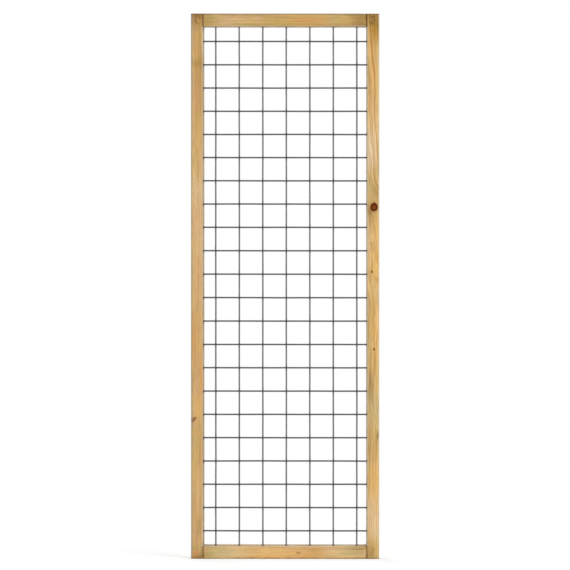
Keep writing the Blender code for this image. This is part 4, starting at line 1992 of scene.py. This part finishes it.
    FRONT_TOP = BoardFinish(
        early=(207, 171, 108), late=(180, 138, 78), pith_across=1.80,
        pith_depth=0.06, seed=9.4, ring_spacing=0.0046, streaks=(0.60, 0.30, 0.30),
        # Painted shade on its outer edges and ends, and a painted highlight on its inner edge.
        edge_light=PaintedEdgeLight(outer=0.68, outer_light_reach=0.0052, inner=0.45, start=0.35, finish=0.80),
        patches=stains(
            (-245, 1722, 30, 50, Tint.OLIVE, 0.40),
            (-160, 1725, 50, 14, Tint.PINK, 0.32),
            (-175, 1722, 50, 14, Tint.PALE, 0.22),
            (-200, 1706, 50, 8, Tint.PALE, 0.20),
            (-80, 1706, 80, 9, Tint.OLIVE, 0.60),
            (-85, 1722, 12, 30, Tint.PINK, 0.35),
            (60, 1722, 60, 8, Tint.ORANGE, 0.40),
            (90, 1706, 50, 10, Tint.ORANGE, 0.28),
            (150, 1705, 60, 10, Tint.BROWN, 0.16),
            (165, 1722, 30, 20, Tint.GREEN, 0.25),
            (0, 1705, 400, 6, Tint.BROWN, 0.15),
            (-255, 1720, 20, 50, Tint.BROWN, 0.12),
            (-238, 1708, 22, 8, Tint.GOLD, 0.38),
            (-100, 1725, 45, 10, Tint.PALE, 0.13),
            (-30, 1706, 50, 9, Tint.GOLD, 0.12),
            (245, 1720, 38, 50, Tint.BROWN, 0.48)))

    FRONT_BOTTOM = BoardFinish(
        early=(228, 193, 136), late=(200, 152, 90), pith_across=-0.045,
        pith_depth=0.05, seed=14.2, ring_spacing=0.0046, streaks=(0.45, 0.30, 0.50),
        # Painted shade on its outer edges and ends, and a painted highlight on its inner edge.
        edge_light=PaintedEdgeLight(outer=0.60, outer_light_reach=0.0060, inner=0.35, start=0.50, finish=0.50),
        knots=(Knot(0.042, 0.020, 0.0030, 2.2, 0.26),),
        patches=stains(
            (-245, 21, 25, 50, Tint.OLIVE, 0.50),
            (-190, 22, 50, 16, Tint.GREEN, 0.60),
            (-150, 21, 60, 50, Tint.PALE, 0.30),
            (-50, 14, 85, 26, Tint.HONEY, 0.90),
            (-40, 24, 90, 20, Tint.PALE, 0.30),
            (30, 10, 70, 10, Tint.ORANGE, 0.30),
            (100, 16, 50, 16, Tint.ORANGE, 0.30),
            (100, 28, 36, 12, Tint.GOLD, 0.42),
            (5, 15, 45, 12, Tint.HONEY, 0.90),
            (0, 14, 30, 10, Tint.PALE, 0.20),
            (155, 24, 40, 20, Tint.PALE, 0.35),
            (215, 24, 34, 16, Tint.GREEN, 0.55),
            (-255, 12, 14, 40, Tint.BROWN, 0.16),
            (-253, 26, 10, 8, Tint.PINK, 0.40),
            (-115, 30, 30, 10, Tint.GOLD, 0.12),
            (240, 40, 35, 4, Tint.BROWN, 0.50),
            (250, 21, 22, 50, Tint.BROWN, 0.16),
            (236, 31, 22, 1.8, Tint.BROWN, 0.80)))

    stile_pocket: float = 0.0192
    rail_pocket: float = 0.0155
    rail_stop: float = 0.022

    def boards(self) -> list[Board]:
        """List the boards with their wood.

        Returns:
            All eight boards.
        """
        upright, level = Grain.UPRIGHT, Grain.LEVEL
        front, rear = Layer.FRONT, Layer.REAR
        rail = {"pocket_reach": self.rail_pocket, "pocket_stop": self.rail_stop}
        return [
            Board("front_left_stile", front, upright, self.FRONT_LEFT),
            Board("front_right_stile", front, upright, self.FRONT_RIGHT),
            Board("front_top_rail", front, level, self.FRONT_TOP),
            Board("front_bottom_rail", front, level, self.FRONT_BOTTOM),
            # The pale tints of the rear boards are painted light on their lips.
            Board("rear_left_stile", rear, upright,
                  self._rear(3.1, -0.33, 0.08, (216, 204, 178)), self.stile_pocket),
            Board("rear_right_stile", rear, upright,
                  self._rear(7.7, 0.24, 0.06, (250, 243, 230)), self.stile_pocket),
            Board("rear_top_rail", rear, level,
                  self._rear(12.9, 1.77, 0.05, (250, 243, 228)), **rail),
            Board("rear_bottom_rail", rear, level,
                  self._rear(17.3, -0.03, 0.07, (214, 212, 200)), **rail),
        ]

    @staticmethod
    def _rear(seed: float, pith_across: float, pith_depth: float, lip_light_tint: Rgb
              ) -> BoardFinish:
        """A rear board's wood, a little greyer, with painted light on its lip and painted shade
        on its outer edges.

        Args:
            seed: Makes its noise its own.
            pith_across: Where its pith lay across the face.
            pith_depth: Where its pith lay in depth.
            lip_light_tint: Screen colour of the painted light on its lip, which shows beside
                the front board and lifts the shade of the rebate.

        Returns:
            The finish.
        """
        return BoardFinish(early=(217, 186, 136), late=(188, 150, 98), seed=seed,
                           pith_across=pith_across, pith_depth=pith_depth,
                           edge_light=PaintedEdgeLight(outer=0.45, inner=0.95, inner_light_tint=lip_light_tint))


@dataclass
class Studio:
    """A white room with a camera all but level and far away, as the photograph shows.

    Attributes:
        image_width: Width of the photograph in pixels.
        frame_width: Width of the trellis in it, in pixels.
        frame_drop: How far the trellis's middle lies below the picture's, in pixels.
        rise: How far the camera looks down on the trellis, in degrees.
        turn: How far the camera stands round to the right, in degrees.
        distance: From the camera to the front of the trellis.
        sensor: Width of the camera's sensor, in millimetres.
        floor_reach: From the floor's middle to its edge.
        floor_blend: Where the lit floor starts to give way to plain white, and where it ends.
        floor_grey: How much light the floor throws back.
        floor_glow: How much the floor is lifted as a background.
        surround: How bright the white surrounding is as a light. As a background it is 1.
    """

    image_width: float = 570.0
    frame_width: float = 188.1
    frame_drop: float = 1.52
    rise: float = 2.2
    turn: float = 1.2
    distance: float = 60.0
    sensor: float = 36.0
    floor_reach: float = 30.0
    floor_blend: tuple[float, float] = (0.6, 2.2)
    floor_grey: float = 0.86
    floor_glow: float = 0.30
    surround: float = 0.55

    def build(self) -> None:
        """Set up the floor, the world, the lamps and the camera."""
        self._floor()
        self._world()
        self._lamp("key", (2.6, -5.2, 3.4), size=2.6, power=150.0)
        self._lamp("fill", (-3.6, -4.6, 1.6), size=3.2, power=60.0)
        self._lamp("back", (-1.8, 5.0, 3.2), size=3.0, power=90.0)
        self._camera()
        bpy.context.scene.view_settings.view_transform = "Standard"

    def _camera(self) -> None:
        """The camera, all but straight in front."""
        pixel = (CAD_HIGH.x - CAD_LOW.x) / self.frame_width
        data = bpy.data.cameras.new("camera")
        data.sensor_width = self.sensor
        data.lens = self.sensor * self.distance / (self.image_width * pixel)
        data.clip_end = 2 * self.distance
        camera = bpy.data.objects.new("camera", data)
        facing = Euler((math.pi / 2 - math.radians(self.rise), 0.0, math.radians(self.turn)))
        target = Vector((CAD_MIDDLE.x, CAD_LOW.y, CAD_MIDDLE.z + self.frame_drop * pixel))
        camera.rotation_euler = facing
        camera.location = target + facing.to_matrix() @ Vector((0.0, 0.0, self.distance))
        bpy.context.scene.collection.objects.link(camera)
        bpy.context.scene.camera = camera

    def _lamp(self, name: str, place: tuple[float, float, float], size: float,
              power: float) -> None:
        """Add a square soft lamp that faces the trellis.

        Args:
            name: The lamp's name.
            place: Where it stands.
            size: Length of its side.
            power: Its power in watts.
        """
        data = bpy.data.lights.new(name, "AREA")
        data.size = size
        data.energy = power
        lamp = bpy.data.objects.new(name, data)
        lamp.location = place
        aim = CAD_MIDDLE - Vector(place)
        lamp.rotation_euler = aim.to_track_quat("-Z", "Y").to_euler()
        bpy.context.scene.collection.objects.link(lamp)

    def _floor(self) -> None:
        """A plain white floor that keeps the shadow."""
        bm = bmesh.new()
        bmesh.ops.create_grid(bm, x_segments=1, y_segments=1, size=self.floor_reach)
        floor = new_piece("floor", bm)
        material, graph, shader, place = new_material("white_floor")
        graph.tree.nodes.remove(shader)
        diffuse = graph.node("ShaderNodeBsdfDiffuse")
        diffuse.inputs["Color"].default_value = (self.floor_grey,) * 3 + (1.0,)
        glow, far = (graph.node("ShaderNodeEmission") for _ in range(2))
        graph.feed(glow.inputs["Strength"], graph.times(self._seen_ray(graph), self.floor_glow))
        graph.feed(far.inputs["Strength"], self._white(graph))
        near = graph.node("ShaderNodeAddShader")
        graph.feed(near.inputs[0], diffuse.outputs[0])
        graph.feed(near.inputs[1], glow.outputs[0])
        length = graph.node("ShaderNodeVectorMath", operation="LENGTH")
        graph.feed(length.inputs[0], place)
        both = graph.node("ShaderNodeMixShader")
        graph.feed(both.inputs[0], graph.smooth(length.outputs["Value"], *self.floor_blend))
        graph.feed(both.inputs[1], near.outputs[0])
        graph.feed(both.inputs[2], far.outputs[0])
        graph.feed(graph.tree.nodes["Material Output"].inputs["Surface"], both.outputs[0])
        floor.data.materials.append(material)

    @staticmethod
    def _seen_ray(graph: Graph) -> Socket:
        """1 on rays that show the background directly, in a mirror or through glass.

        Args:
            graph: The graph that asks.

        Returns:
            The share.
        """
        path = graph.node("ShaderNodeLightPath")
        seen = graph.math("MAXIMUM", path.outputs["Is Camera Ray"],
                          path.outputs["Is Glossy Ray"])
        return graph.math("MAXIMUM", seen, path.outputs["Is Transmission Ray"])

    def _white(self, graph: Graph) -> Socket:
        """Strength of the white surrounding, dimmer as a light than as a background."""
        return graph.span(self._seen_ray(graph), self.surround, 1.0)

    def _world(self) -> None:
        """An even white surrounding."""
        world = bpy.data.worlds.new("studio")
        bpy.context.scene.world = world
        world.use_nodes = True
        graph = Graph(world.node_tree)
        background = world.node_tree.nodes["Background"]
        background.inputs["Color"].default_value = (1.0, 1.0, 1.0, 1.0)
        graph.feed(background.inputs["Strength"], self._white(graph))


def main() -> None:
    """Build the trellis and the studio."""
    logging.basicConfig(level=logging.INFO, format="%(name)s %(message)s")
    Studio().build()
    WoodGroups().build()
    ZincFinish.build_group()
    for board in Frame().boards():
        board.dress(board.build())
    wires = WireMesh(ZincFinish(base=(124, 124, 127), dull=(112, 112, 115),
                                burnt=(84, 80, 76), level_shade_tint=(92, 92, 94), spangle=320.0,
                                roughness=0.52, metallic=0.5, sheen=0.5))
    wires.dress(wires.build())
    screws = ScrewSet(ZincFinish(base=(196, 188, 160), dull=(160, 152, 126),
                                 burnt=(90, 84, 70), level_shade_tint=(90, 84, 70), spangle=900.0,
                                 roughness=0.36, metallic=0.9, sheen=1.0))
    screws.dress(screws.build())


if __name__ == "__main__":
    main()
